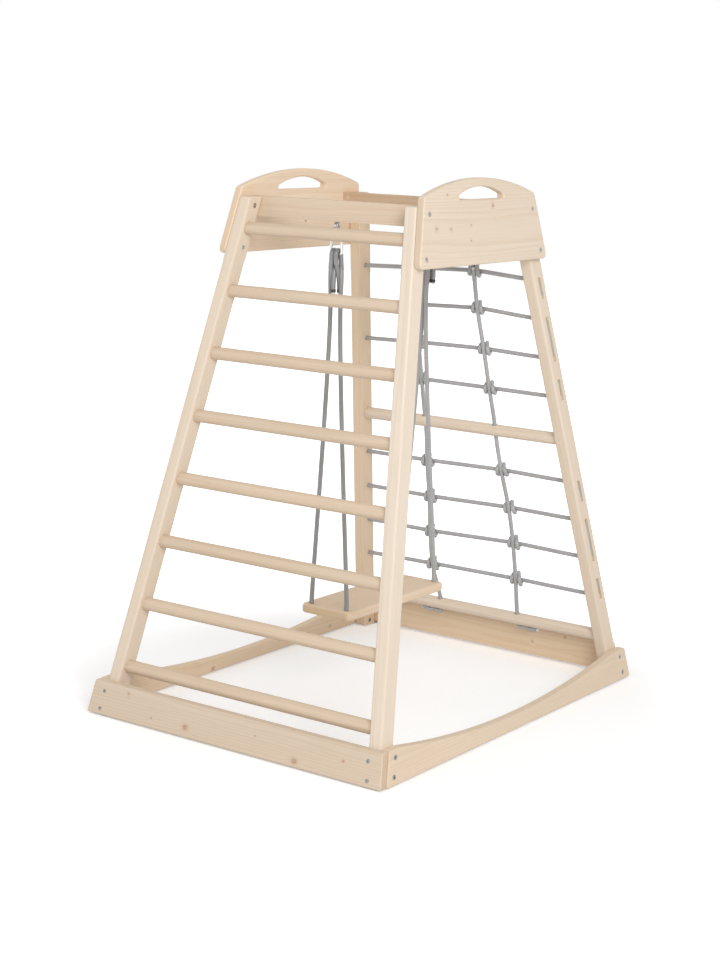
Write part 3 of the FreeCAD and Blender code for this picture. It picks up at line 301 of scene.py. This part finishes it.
def wood(name, middle, grain, face, pith, knots, tint, seed):
    """Softwood with its grain along a direction; face is the broad side's normal, pith lies behind it."""
    material, tree, shader = blank_material(name)
    grain = Vector(grain).normalized()
    face = Vector(face)
    deep = (face - grain * face.dot(grain)).normalized()
    across = deep.cross(grain)
    if across.z < 0:
        across.negate()
    place = put(tree, "ShaderNodeTexCoord")
    local = vector_calc(tree, "SUBTRACT", place.outputs["Object"], tuple(middle))
    along = vector_calc(tree, "DOT_PRODUCT", local, tuple(grain))
    aside = vector_calc(tree, "DOT_PRODUCT", local, tuple(across))
    depth = vector_calc(tree, "DOT_PRODUCT", local, tuple(deep))
    axes = put(tree, "ShaderNodeCombineXYZ", {0: along, 1: aside, 2: depth}).outputs[0]
    shifted = vector_calc(tree, "ADD", axes, tuple(seed * share for share in SEED_SHARES))

    # The rings wander slowly along the grain and swell round the knots
    slow = vector_calc(tree, "MULTIPLY", shifted, WANDER_SCALE)
    wander = noise(tree, slow, 1.0, 2.0, "Color")
    start = (0.0, -RING_WANDER / 2 - pith[0], -RING_WANDER / 2 - pith[1])
    wander = vector_calc(tree, "MULTIPLY_ADD", wander, (0.0, RING_WANDER, RING_WANDER), start)
    ringed = vector_calc(tree, "MULTIPLY_ADD", axes, (0.0, 1.0, 1.0), wander)
    reach = vector_calc(tree, "LENGTH", ringed)
    knot = knot_distance(tree, along, aside, knots) if knots else None
    if knot is not None:
        reach = calc(tree, "ADD", reach, spread(tree, knot, KNOT_SWELL, 0.0, *SWELL_REACH, smooth=True))
    years = put(tree, "ShaderNodeTexNoise", {"W": reach, "Scale": YEAR_SCALE, "Detail": 1.0},
                noise_dimensions="1D")
    phase = calc(tree, "MULTIPLY_ADD", years.outputs["Fac"], YEAR_SHIFT,
                 calc(tree, "DIVIDE", reach, RING_SPACING))
    ring = calc(tree, "FRACT", phase)
    band = ramp(tree, ring, [(place_in_ring, (tone,) * 3) for place_in_ring, tone in RING_TONES])

    # Fibres and slow changes of tone
    fibre = noise(tree, vector_calc(tree, "MULTIPLY", shifted, FIBRE_SCALE), 1.0, 3.0)
    streak = noise(tree, vector_calc(tree, "MULTIPLY", shifted, STREAK_SCALE), 1.0, 3.0)
    cloud = noise(tree, vector_calc(tree, "MULTIPLY", shifted, CLOUD_SCALE), 1.0, 2.0)
    amount = calc(tree, "MULTIPLY", band, spread(tree, streak, *LATE_SHARES))
    early, late = [tuple(part * share for part, share in zip(shade, tint))
                   for shade in (EARLY_WOOD, LATE_WOOD)]
    colour = mixed(tree, amount, early, late)
    colour = toned(tree, colour, fibre, FIBRE_TONE)
    colour = toned(tree, colour, cloud, CLOUD_TONE)
    if knot is not None:
        colour = mixed(tree, spread(tree, knot, HALO_SHARE, 0.0, *HALO_REACH), colour, KNOT_EDGE)
        rays = noise(tree, vector_calc(tree, "MULTIPLY", shifted, RAY_SCALE), 1.0, 2.0)
        heart = ramp(tree, rays, [(NOISE_LOW, KNOT_HEART), (NOISE_HIGH, KNOT_EDGE)])
        colour = mixed(tree, spread(tree, knot, HEART_SHARE, 0.0, *HEART_REACH), colour, heart)

    # End grain drinks more and looks deeper
    ends = calc(tree, "ABSOLUTE", vector_calc(tree, "DOT_PRODUCT", place.outputs["Normal"], tuple(grain)))
    end_share = spread(tree, ends, 0.0, 1.0, *END_FACING)
    colour = mixed(tree, end_share, colour, mixed(tree, 1.0, colour, END_TONE, "MULTIPLY"))
    tree.links.new(colour, shader.inputs["Base Color"])

    rough = calc(tree, "MULTIPLY_ADD", fibre, FIBRE_ROUGHNESS, WOOD_ROUGHNESS)
    tree.links.new(calc(tree, "MULTIPLY_ADD", amount, RING_ROUGHNESS, rough), shader.inputs["Roughness"])
    shader.inputs["Specular IOR Level"].default_value = WOOD_SPECULAR
    bumped(tree, shader, calc(tree, "MULTIPLY_ADD", amount, RING_RELIEF, fibre), *WOOD_BUMP)
    return material


# Rope, metal and plastics
ROPE_CROWN = (0.540, 0.538, 0.536)
ROPE_SIDE = (0.450, 0.448, 0.446)
# The valley tone is painted shade in the creases between the strands.
ROPE_VALLEY_SHADE = (0.250, 0.249, 0.248)
ROPE_TIP = (0.78, 0.77, 0.75)
# The net and swing ropes are one grey rope: the front swing rope is set darker as painted shade, and the
# rear one a little darker than the net's.
NET_ROPE_SHADE = 1.1
FRONT_ROPE_PAINTED_SHADE = 0.74
REAR_ROPE_SHADE = 1.0
FILAMENT_SCALE = 1400.0
FILAMENT_TONE = (0.84, 0.84, 0.84)
PATCH_SCALE = 22.0
PATCH_TONE = (0.92, 0.92, 0.91)
ROPE_ROUGHNESS = (0.26, 0.40)
ROPE_SPECULAR = 0.7
ROPE_BUMP = (0.25, 0.0002)

ZINC_CLOUD_SCALE = 160.0
ZINC_GRAIN_SCALE = 2600.0
ZINC_ROUGHNESS = (0.24, 0.42)
ZINC_BUMP = (0.08, 0.0002)

TAPE_TURN_SCALE = 260.0
TAPE_DUST_SCALE = 420.0
TAPE_TONES = [(0.3, (0.030, 0.029, 0.030)), (0.75, (0.075, 0.073, 0.072))]
TAPE_ROUGHNESS = (0.42, 0.66)
TAPE_BUMP = (0.5, 0.0003)

PLASTIC_SCUFF_SCALE = 300.0
PLASTIC_TONES = [(0.35, (0.56, 0.55, 0.52)), (0.65, (0.70, 0.69, 0.66))]
PLASTIC_ROUGHNESS = (0.40, 0.62)
PLASTIC_BUMP = (0.2, 0.0002)


def rope_material(name, shade):
    """Braided synthetic rope: strands from the mesh's own braid layer, with fine filaments; the valleys
    between the strands are darkened as painted shade.
    """
    material, tree, shader = blank_material(name)
    crown, side, valley_shade = [tuple(part * shade for part in colour)
                           for colour in (ROPE_CROWN, ROPE_SIDE, ROPE_VALLEY_SHADE)]
    layer = put(tree, "ShaderNodeAttribute", attribute_name="braid")
    parts = put(tree, "ShaderNodeSeparateColor", {0: layer.outputs["Color"]})
    place = put(tree, "ShaderNodeTexCoord").outputs["Object"]
    filament = noise(tree, place, FILAMENT_SCALE, 3.0)
    patch = noise(tree, place, PATCH_SCALE, 2.0)
    strand = mixed(tree, parts.outputs[1], side, crown)
    colour = mixed(tree, parts.outputs[0], valley_shade, strand)
    colour = toned(tree, colour, filament, FILAMENT_TONE)
    colour = toned(tree, colour, patch, PATCH_TONE)
    colour = mixed(tree, parts.outputs[2], colour, ROPE_TIP)
    tree.links.new(colour, shader.inputs["Base Color"])
    tree.links.new(spread(tree, filament, *ROPE_ROUGHNESS), shader.inputs["Roughness"])
    shader.inputs["Specular IOR Level"].default_value = ROPE_SPECULAR
    bumped(tree, shader, filament, *ROPE_BUMP)
    return material


def zinc_material(name, low, high):
    """Zinc plating with a slight cloudiness between two tones."""
    material, tree, shader = blank_material(name)
    place = put(tree, "ShaderNodeTexCoord").outputs["Object"]
    cloud = noise(tree, place, ZINC_CLOUD_SCALE, 3.0)
    grain = noise(tree, place, ZINC_GRAIN_SCALE, 2.0)
    shade = ramp(tree, cloud, [(NOISE_LOW, low), (NOISE_HIGH, high)])
    tree.links.new(shade, shader.inputs["Base Color"])
    tree.links.new(spread(tree, cloud, *ZINC_ROUGHNESS), shader.inputs["Roughness"])
    shader.inputs["Metallic"].default_value = 1.0
    bumped(tree, shader, grain, *ZINC_BUMP)
    return material


def binding_material():
    """Dark tape wound round a rope tail."""
    material, tree, shader = blank_material("dark_tape")
    place = put(tree, "ShaderNodeTexCoord").outputs["Object"]
    turns = put(tree, "ShaderNodeTexWave",
                {"Vector": place, "Scale": TAPE_TURN_SCALE, "Distortion": 1.2, "Detail": 2.0})
    turns.bands_direction = "Z"
    dust = noise(tree, place, TAPE_DUST_SCALE, 3.0)
    tree.links.new(ramp(tree, dust, TAPE_TONES), shader.inputs["Base Color"])
    tree.links.new(spread(tree, dust, *TAPE_ROUGHNESS), shader.inputs["Roughness"])
    bumped(tree, shader, turns.outputs["Fac"], *TAPE_BUMP)
    return material


def glide_material():
    """Pale plastic pads under the feet."""
    material, tree, shader = blank_material("pale_plastic")
    place = put(tree, "ShaderNodeTexCoord").outputs["Object"]
    scuff = noise(tree, place, PLASTIC_SCUFF_SCALE, 4.0)
    tree.links.new(ramp(tree, scuff, PLASTIC_TONES), shader.inputs["Base Color"])
    tree.links.new(spread(tree, scuff, *PLASTIC_ROUGHNESS), shader.inputs["Roughness"])
    bumped(tree, shader, scuff, *PLASTIC_BUMP)
    return material


# Braided ropes
def spline_points(name, route, cyclic):
    """Points along the smooth NURBS line of a route."""
    line = bpy.data.curves.new(name + "_line", "CURVE")
    line.dimensions = "3D"
    spline = line.splines.new("NURBS")
    spline.points.add(len(route) - 1)
    for point, place in zip(spline.points, route):
        point.co = (*place, 1)
    spline.order_u = 3
    spline.use_endpoint_u = not cyclic
    spline.use_cyclic_u = cyclic
    spline.resolution_u = SPLINE_STEPS
    carrier = bpy.data.objects.new(name + "_line", line)
    flat = bpy.data.meshes.new_from_object(carrier)
    points = [vertex.co.copy() for vertex in flat.vertices]
    bpy.data.meshes.remove(flat)
    bpy.data.objects.remove(carrier)
    bpy.data.curves.remove(line)
    return points


def evenly_spaced(points, cyclic):
    """The line's points at even steps of the braid, an even count of them on a closed line."""
    if cyclic:
        points = points + points[:1]
    lengths = [0.0]
    for first, second in zip(points, points[1:]):
        lengths.append(lengths[-1] + (second - first).length)
    count = max(2, 2 * round(lengths[-1] / BRAID_STEP / 2))
    spaced = []
    index = 0
    for number in range(count if cyclic else count + 1):
        target = lengths[-1] * number / count
        while index < len(lengths) - 2 and lengths[index + 1] < target:
            index += 1
        span = lengths[index + 1] - lengths[index]
        share = (target - lengths[index]) / span if span > 0 else 0.0
        spaced.append(points[index].lerp(points[index + 1], min(1.0, max(0.0, share))))
    return spaced, lengths[-1]


def turned_frames(points, cyclic):
    """A side and an up direction at each point that don't twist along the line."""
    total = len(points)
    tangents = []
    for number in range(total):
        before = points[number - 1] if cyclic or number > 0 else points[0]
        after = points[(number + 1) % total] if cyclic or number < total - 1 else points[-1]
        tangents.append((after - before).normalized())
    helper = Vector((1, 0, 0)) if abs(tangents[0].x) < NEARLY_PARALLEL else Vector((0, 0, 1))
    side = tangents[0].cross(helper).normalized()
    frames = []
    for number, tangent in enumerate(tangents):
        if number:
            side = tangents[number - 1].rotation_difference(tangent) @ side
            side = (side - tangent * side.dot(tangent)).normalized()
        frames.append((side, tangent.cross(side)))
    return frames


def braid_rings(points, cyclic, tips):
    """Vertices, faces and braid colours of one rope; the strands stand up in a diamond lattice, and the
    colours mark the valleys that the material darkens as painted shade.
    """
    points, length = evenly_spaced(points, cyclic)
    frames = turned_frames(points, cyclic)
    sides = 2 * BRAID_CELLS
    total = len(points)
    vertices = []
    colours = []
    for number, (point, (side, up)) in enumerate(zip(points, frames)):
        from_end = min(number, total - 1 - number) * length / total
        taper = 1.0
        if not cyclic and from_end < TIP_ROUNDING:
            taper = math.sqrt(max(TIP_FLATNESS, 1 - (1 - from_end / TIP_ROUNDING) ** 2))
        tip = 1.0 if tips and from_end < TIP_LENGTH else 0.0
        for spoke in range(sides):
            angle = 2 * math.pi * spoke / sides
            crown = (number + spoke) % 2 == 0
            radius = taper * (ROPE_RADIUS if crown else ROPE_RADIUS - BRAID_DEPTH)
            vertices.append(point + (side * math.cos(angle) + up * math.sin(angle)) * radius)
            colours.append((1.0 if crown else 0.0, 1.0 if number % 2 == 0 else 0.0, tip, 1.0))
    faces = []
    for number in range(total if cyclic else total - 1):
        here = number * sides
        there = (number + 1) % total * sides
        for spoke in range(sides):
            other = (spoke + 1) % sides
            if (number + spoke) % 2 == 0:
                faces.append((here + spoke, here + other, there + other))
                faces.append((here + spoke, there + other, there + spoke))
            else:
                faces.append((here + spoke, here + other, there + spoke))
                faces.append((here + other, there + other, there + spoke))
    if not cyclic:
        faces.append(tuple(reversed(range(sides))))
        faces.append(tuple(range((total - 1) * sides, total * sides)))
    return vertices, faces, colours


def rope_piece(name, routes, body, node, material, cyclic=False, tips=False):
    """One mesh of braided rope along one or more routes, in place of a node of the model."""
    vertices, faces, colours = [], [], []
    for number, route in enumerate(routes):
        points = spline_points(f"{name}_{number}", route, cyclic)
        new_vertices, new_faces, new_colours = braid_rings(points, cyclic, tips)
        start = len(vertices)
        vertices.extend(new_vertices)
        colours.extend(new_colours)
        faces.extend(tuple(start + index for index in face) for face in new_faces)
    mesh = bpy.data.meshes.new(name)
    mesh.from_pydata(vertices, [], faces)
    layer = mesh.color_attributes.new("braid", "FLOAT_COLOR", "POINT")
    layer.data.foreach_set("color", [part for colour in colours for part in colour])
    mesh.polygons.foreach_set("use_smooth", [True] * len(mesh.polygons))
    mesh.materials.append(material)
    piece = bpy.data.objects.new(name, mesh)
    bpy.context.scene.collection.objects.link(piece)
    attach(piece, body)
    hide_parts(node)


def hitch_routes(crossings, seed):
    """The turns at each crossing, each a little different."""
    chance = random.Random(seed)
    routes = []
    for crossing in crossings:
        tilt = math.radians(chance.uniform(-HITCH_TILT, HITCH_TILT))
        along = Vector((1, 0, 0)) * math.cos(tilt) + NET_UPWARD * math.sin(tilt)
        upward = NET_UPWARD * math.cos(tilt) - Vector((1, 0, 0)) * math.sin(tilt)
        loose = [chance.uniform(-HITCH_SLACK, HITCH_SLACK) for _ in HITCH_ROUTE]
        routes.append([Vector(crossing) + along * (t + slack) + NET_INWARD * n + upward * u
                       for (t, n, u), slack in zip(HITCH_ROUTE, loose)])
    return routes


def band_piece(name, places, node, material):
    """The bindings of one rope's two ends, in place of a node of the model."""
    vertices, faces = [], []
    for place in places:
        start = len(vertices)
        for radius, height in BAND_OUTLINE:
            for spoke in range(BAND_SIDES):
                angle = 2 * math.pi * spoke / BAND_SIDES
                spot = Vector((radius * math.cos(angle), radius * math.sin(angle), height))
                vertices.append(Vector(place) + spot)
        rings = len(BAND_OUTLINE)
        for ring in range(rings - 1):
            here = start + ring * BAND_SIDES
            above = here + BAND_SIDES
            for spoke in range(BAND_SIDES):
                other = (spoke + 1) % BAND_SIDES
                faces.append((here + spoke, here + other, above + other, above + spoke))
        faces.append(tuple(start + spoke for spoke in reversed(range(BAND_SIDES))))
        faces.append(tuple(start + (rings - 1) * BAND_SIDES + spoke for spoke in range(BAND_SIDES)))
    mesh = bpy.data.meshes.new(name)
    mesh.from_pydata(vertices, [], faces)
    mesh.polygons.foreach_set("use_smooth", [len(face) == 4 for face in faces])
    mesh.materials.append(material)
    piece = bpy.data.objects.new(name, mesh)
    bpy.context.scene.collection.objects.link(piece)
    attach(piece, "swing")
    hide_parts(node)


net_braid = rope_material("grey_braid", NET_ROPE_SHADE)
# The front swing rope's darker material is painted shade.
shaded_front_braid = rope_material("shaded_grey_braid", FRONT_ROPE_PAINTED_SHADE)
rear_braid = rope_material("mid_grey_braid", REAR_ROPE_SHADE)
left_hitches = hitch_routes(LEFT_CROSSINGS, LEFT_HITCH_SEED)
right_hitches = hitch_routes(RIGHT_CROSSINGS, RIGHT_HITCH_SEED)
rope_piece("upper_net_braid", [UPPER_NET_ROUTE], "frame", "upper_net_rope", net_braid)
rope_piece("lower_net_braid", [LOWER_NET_ROUTE], "frame", "lower_net_rope", net_braid)
rope_piece("left_upright_braid", [LEFT_NET_ROUTE], "frame", "net_rope_left", net_braid, tips=True)
rope_piece("right_upright_braid", [RIGHT_NET_ROUTE], "frame", "net_rope_right", net_braid, tips=True)
rope_piece("left_hitch_braid", left_hitches, "frame", "left_net_hitches", net_braid, cyclic=True)
rope_piece("right_hitch_braid", right_hitches, "frame", "right_net_hitches", net_braid, cyclic=True)
rope_piece("front_swing_braid", [FRONT_SWING_ROUTE], "swing", "front_swing_rope", shaded_front_braid, tips=True)
rope_piece("rear_swing_braid", [REAR_SWING_ROUTE], "swing", "rear_swing_rope", rear_braid, tips=True)
dark_tape = binding_material()
band_piece("front_tail_bands", FRONT_BANDS, "front_rope_bands", dark_tape)
band_piece("rear_tail_bands", REAR_BANDS, "rear_rope_bands", dark_tape)


# Materials on the solid pieces
def dress(node, material):
    """Give a node of the model one material."""
    data = nodes[node].data
    data.materials.clear()
    data.materials.append(material)


def box_middle(node):
    low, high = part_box(node)
    return (low + high) / 2


ACROSS = (1, 0, 0)
ALONG = (0, 1, 0)
UP = (0, 0, 1)
FRONT = (0, -1, 0)

# Tints of single pieces of wood. Several are painted light and shade: the paler tint whitens a lit face as a
# painted sheen, the brighter one is painted light on a face in shade, the ruddy one is painted warm shade on
# pieces further in, and the deep one is painted shade on the ladder's rungs and top rail. The brown and
# dusky tints darken the net's top rail and the front base board.
PLAIN = (1.0, 1.0, 1.0)
PALE_PAINTED_SHEEN = (1.03, 1.06, 1.10)
WARM = (0.985, 0.95, 0.90)
BRIGHT_PAINTED_LIGHT = (1.09, 1.04, 0.98)
RUDDY_PAINTED_WARM_SHADE = (1.05, 0.985, 0.89)
DEEP_PAINTED_SHADE = (0.91, 0.865, 0.81)
BROWN = (0.80, 0.71, 0.615)
DUSKY = (0.90, 0.877, 0.848)

# Stiles: each leans its own way. A pith lies aside from a piece's middle and behind it, in metres.
STILE_PITH = (0.012, -0.040)
# The ladder's right stile is paler as a painted sheen; the net's left stile is warmer as painted shade.
STILES = (("ladder", -1, "left", -1, PLAIN, 0.4), ("ladder", -1, "right", 1, PALE_PAINTED_SHEEN, 2.1),
          ("net", 1, "left", -1, RUDDY_PAINTED_WARM_SHADE, 3.8), ("net", 1, "right", 1, PLAIN, 5.5))
for end_name, end, side_name, side, tint, seed in STILES:
    label = f"{end_name}_stile_{side_name}"
    grain = (-side * LEAN_ACROSS, -end * LEAN_ALONG, 1)
    pith = (STILE_PITH[0] * side, STILE_PITH[1])
    dress(label, wood(f"spruce_{label}", box_middle(label), grain, (0, end, 0), pith, (), tint, seed))

# Rungs, each from its own part of the wood
RUNG_SEED = 40
RUNG_PITH_ASIDE = (-0.03, 0.03)
RUNG_PITH_BEHIND = (-0.05, -0.015)
RUNG_TONES = (0.97, 1.03)
RUNG_FIRST_PLACE = 11
RUNG_PLACE_STEP = 2.3
rung_labels = [f"ladder_rung_{count}" for count in range(1, 9)] + ["net_middle_rung", "net_bottom_rung"]
# The ladder's rungs are darkened with the deep tint as painted shade; the net's rungs keep the plain tint.
for number, label in enumerate(rung_labels):
    chance = random.Random(RUNG_SEED + number)
    pith = (chance.uniform(*RUNG_PITH_ASIDE), chance.uniform(*RUNG_PITH_BEHIND))
    tone = chance.uniform(*RUNG_TONES)
    tint = [part * tone for part in (DEEP_PAINTED_SHADE if label.startswith("ladder") else PLAIN)]
    seed = RUNG_PLACE_STEP * number + RUNG_FIRST_PLACE
    dress(label, wood(f"spruce_{label}", box_middle(label), ACROSS, FRONT, pith, (), tint, seed))

# Boards, rails, panels and the seat: grain, face, pith, tint, seed, and each knot's place along
# and across the grain and its radius, in metres
# Among the tints, the rear base board, left side board and seat are warmed as painted shade, the left end
# panel is lifted as painted light, and the ladder's top rail is darkened as painted shade.
BOARDS = {
    "front_base_board": (ACROSS, FRONT, (0.03, -0.055), DUSKY, 31.0,
                         [(-0.111, -0.013, 0.0062), (0.170, -0.021, 0.0062), (-0.273, 0.022, 0.0026),
                          (-0.203, -0.013, 0.0022), (0.067, 0.006, 0.0018), (0.284, 0.003, 0.0032)]),
    "rear_base_board": (ACROSS, (0, 1, 0), (-0.02, -0.06), RUDDY_PAINTED_WARM_SHADE, 37.0,
                        [(0.220, 0.027, 0.0030), (0.129, -0.001, 0.0026)]),
    "left_side_board": (ALONG, (-1, 0, 0), (0.02, -0.06), RUDDY_PAINTED_WARM_SHADE, 41.0,
                        [(-0.119, -0.026, 0.0050), (0.333, -0.018, 0.0036)]),
    "right_side_board": (ALONG, (1, 0, 0), (0.025, -0.05), WARM, 47.0, []),
    "left_end_panel": (ALONG, (-1, 0, 0), (0.04, -0.07), BRIGHT_PAINTED_LIGHT, 53.0, [(0.027, -0.028, 0.0028)]),
    "right_end_panel": (ALONG, (1, 0, 0), (-0.03, -0.075), PLAIN, 59.0,
                        [(-0.134, 0.057, 0.0024), (-0.183, -0.010, 0.0032), (-0.129, -0.013, 0.0024),
                         (-0.051, -0.007, 0.0020), (-0.055, -0.039, 0.0020), (0.040, 0.031, 0.0040)]),
    "ladder_top_rail": (ACROSS, FRONT, (0.01, -0.05), DEEP_PAINTED_SHADE, 61.0, []),
    "net_top_rail": (ACROSS, (0, 1, 0), (-0.01, -0.045), BROWN, 67.0, []),
    "swing_seat": (ALONG, UP, (0.015, -0.05), RUDDY_PAINTED_WARM_SHADE, 71.0, []),
}
for label, (grain, face, pith, tint, seed, knots) in BOARDS.items():
    dress(label, wood(f"spruce_{label}", box_middle(label), grain, face, pith, knots, tint, seed))

# Metal and plastics
bright_zinc = zinc_material("bright_zinc", (0.66, 0.66, 0.67), (0.80, 0.80, 0.81))
# The screw eyes' zinc is darker than the hooks' as a painted dark reflection.
dark_reflection_zinc = zinc_material("dark_reflection_zinc", (0.34, 0.34, 0.34), (0.52, 0.52, 0.52))
# A darker zinc for the base boards' screws and the side boards' bolts and nuts, partly their own tone and
# partly painted shade of the recesses they sit in; its roughness is the same as the others'.
dark_zinc_and_recess_shade = zinc_material("dark_zinc_and_recess_shade", (0.28, 0.28, 0.26), (0.42, 0.42, 0.39))
grey_zinc = zinc_material("grey_zinc", (0.40, 0.385, 0.355), (0.56, 0.54, 0.50))
pale_plastic = glide_material()
for end_name in ("front", "rear"):
    dress(f"{end_name}_snap_hook", bright_zinc)
    dress(f"{end_name}_hook_gate", bright_zinc)
    dress(f"{end_name}_screw_eye", dark_reflection_zinc)
    dress(f"{end_name}_base_board_screws", dark_zinc_and_recess_shade)
    for side_name in ("left", "right"):
        dress(f"{end_name}_glide_{side_name}", pale_plastic)
for side_name in ("left", "right"):
    for plate, zinc in (("end_panel", grey_zinc), ("side_board", dark_zinc_and_recess_shade)):
        dress(f"{side_name}_{plate}_bolts", zinc)
        dress(f"{side_name}_{plate}_nuts", zinc)

# The rails' screws have heads in the wood's tone
RAIL_SCREW_PITH = (0.01, -0.05)
RAIL_SCREW_SEED = 73.0
for end_name in ("ladder", "net"):
    label = f"{end_name}_top_rail_screws"
    dress(label, wood(f"wood_toned_{label}", box_middle(label), ACROSS, FRONT, RAIL_SCREW_PITH, (), WARM,
                      RAIL_SCREW_SEED))


# Floor, light and camera
def seen_directly(tree):
    """1 for what the camera sees, straight or through a reflection or glass."""
    path = put(tree, "ShaderNodeLightPath")
    seen = calc(tree, "MAXIMUM", path.outputs["Is Camera Ray"], path.outputs["Is Glossy Ray"])
    return calc(tree, "MAXIMUM", seen, path.outputs["Is Transmission Ray"])


FLOOR_HALF = 9.0
FLOOR_TONE = 0.86
FLOOR_SPECKLE = 0.006
FLOOR_SPECKLE_SCALE = 3.0
FLOOR_ROUGHNESS = 0.9
FLOOR_LIFT = 0.30
SHADOW_REACH = (0.55, 1.25)
WORLD_LEVEL = 0.56

# Lamps: place, target, size in metres and power in watts
KEY_LIGHT = ((3.6, -3.0, 2.6), (0, 0, 0.6), 2.2, 128.0)
FILL_LIGHT = ((-3.6, -2.6, 2.2), (0, 0, 0.5), 2.8, 26.0)


def white_floor():
    """A pale floor that runs out into the white background."""
    mesh = bpy.data.meshes.new("floor")
    corners = [(x, y, 0) for x, y in ((-1, -1), (1, -1), (1, 1), (-1, 1))]
    mesh.from_pydata([Vector(corner) * FLOOR_HALF for corner in corners], [], [(0, 1, 2, 3)])
    material, tree, shader = blank_material("floor")
    shader.inputs["Roughness"].default_value = FLOOR_ROUGHNESS
    shader.inputs["Specular IOR Level"].default_value = 0.0
    place = put(tree, "ShaderNodeTexCoord").outputs["Object"]
    speckle = noise(tree, place, FLOOR_SPECKLE_SCALE, 3.0)
    pale = ramp(tree, speckle, [(NOISE_LOW, (FLOOR_TONE - FLOOR_SPECKLE,) * 3),
                                (NOISE_HIGH, (FLOOR_TONE + FLOOR_SPECKLE,) * 3)])
    tree.links.new(pale, shader.inputs["Base Color"])
    shader.inputs["Emission Color"].default_value = (1, 1, 1, 1)
    away = vector_calc(tree, "LENGTH", place)
    lift = spread(tree, away, FLOOR_LIFT, 1.0, *SHADOW_REACH, smooth=True)
    tree.links.new(calc(tree, "MULTIPLY", seen_directly(tree), lift), shader.inputs["Emission Strength"])
    mesh.materials.append(material)
    floor = bpy.data.objects.new("floor", mesh)
    bpy.context.scene.collection.objects.link(floor)


def white_world():
    """An even white surrounding, brighter where it is seen than where it lights."""
    world = bpy.data.worlds.new("studio")
    world.use_nodes = True
    tree = world.node_tree
    background = tree.nodes["Background"]
    background.inputs["Color"].default_value = (1, 1, 1, 1)
    tree.links.new(spread(tree, seen_directly(tree), WORLD_LEVEL, 1.0), background.inputs["Strength"])
    bpy.context.scene.world = world


def soft_box(name, place, target, size, power):
    """A large square lamp aimed at a point."""
    lamp = bpy.data.lights.new(name, "AREA")
    lamp.shape = "SQUARE"
    lamp.size = size
    lamp.energy = power
    box = bpy.data.objects.new(name, lamp)
    box.location = place
    box.rotation_euler = (Vector(target) - Vector(place)).to_track_quat("-Z", "Y").to_euler()
    bpy.context.scene.collection.objects.link(box)


# The photograph's camera: focal length and optical centre in pixels of its frame
IMAGE_WIDTH = 720
IMAGE_HEIGHT = 960
FOCAL_PIXELS = 1964.9
CENTRE_PIXEL = (321.8, 324.9)
CAMERA_PLACE = (2.3967, -3.5111, 1.3028)
CAMERA_AZIMUTH = math.radians(36.09)
CAMERA_DOWN = math.radians(6.47)
CAMERA_ROLL = math.radians(1.54)
SENSOR = 36.0


def photo_camera():
    """The photograph's view of the object."""
    ahead = Vector((-math.sin(CAMERA_AZIMUTH) * math.cos(CAMERA_DOWN),
                    math.cos(CAMERA_AZIMUTH) * math.cos(CAMERA_DOWN), -math.sin(CAMERA_DOWN)))
    level = Vector((math.cos(CAMERA_AZIMUTH), math.sin(CAMERA_AZIMUTH), 0))
    upright = level.cross(ahead)
    right = level * math.cos(CAMERA_ROLL) + upright * math.sin(CAMERA_ROLL)
    top = upright * math.cos(CAMERA_ROLL) - level * math.sin(CAMERA_ROLL)
    data = bpy.data.cameras.new("photo_camera")
    data.sensor_fit = "VERTICAL"
    data.sensor_height = SENSOR
    data.lens = FOCAL_PIXELS * SENSOR / IMAGE_HEIGHT
    data.shift_x = (IMAGE_WIDTH / 2 - CENTRE_PIXEL[0]) / IMAGE_HEIGHT
    data.shift_y = (CENTRE_PIXEL[1] - IMAGE_HEIGHT / 2) / IMAGE_HEIGHT
    camera = bpy.data.objects.new("photo_camera", data)
    turned = Matrix((right, top, -ahead)).transposed().to_4x4()
    camera.matrix_world = Matrix.Translation(CAMERA_PLACE) @ turned
    bpy.context.scene.collection.objects.link(camera)
    bpy.context.scene.camera = camera


white_floor()
white_world()
soft_box("key_light", *KEY_LIGHT)
soft_box("fill_light", *FILL_LIGHT)
photo_camera()
bpy.context.scene.view_settings.view_transform = "Standard"
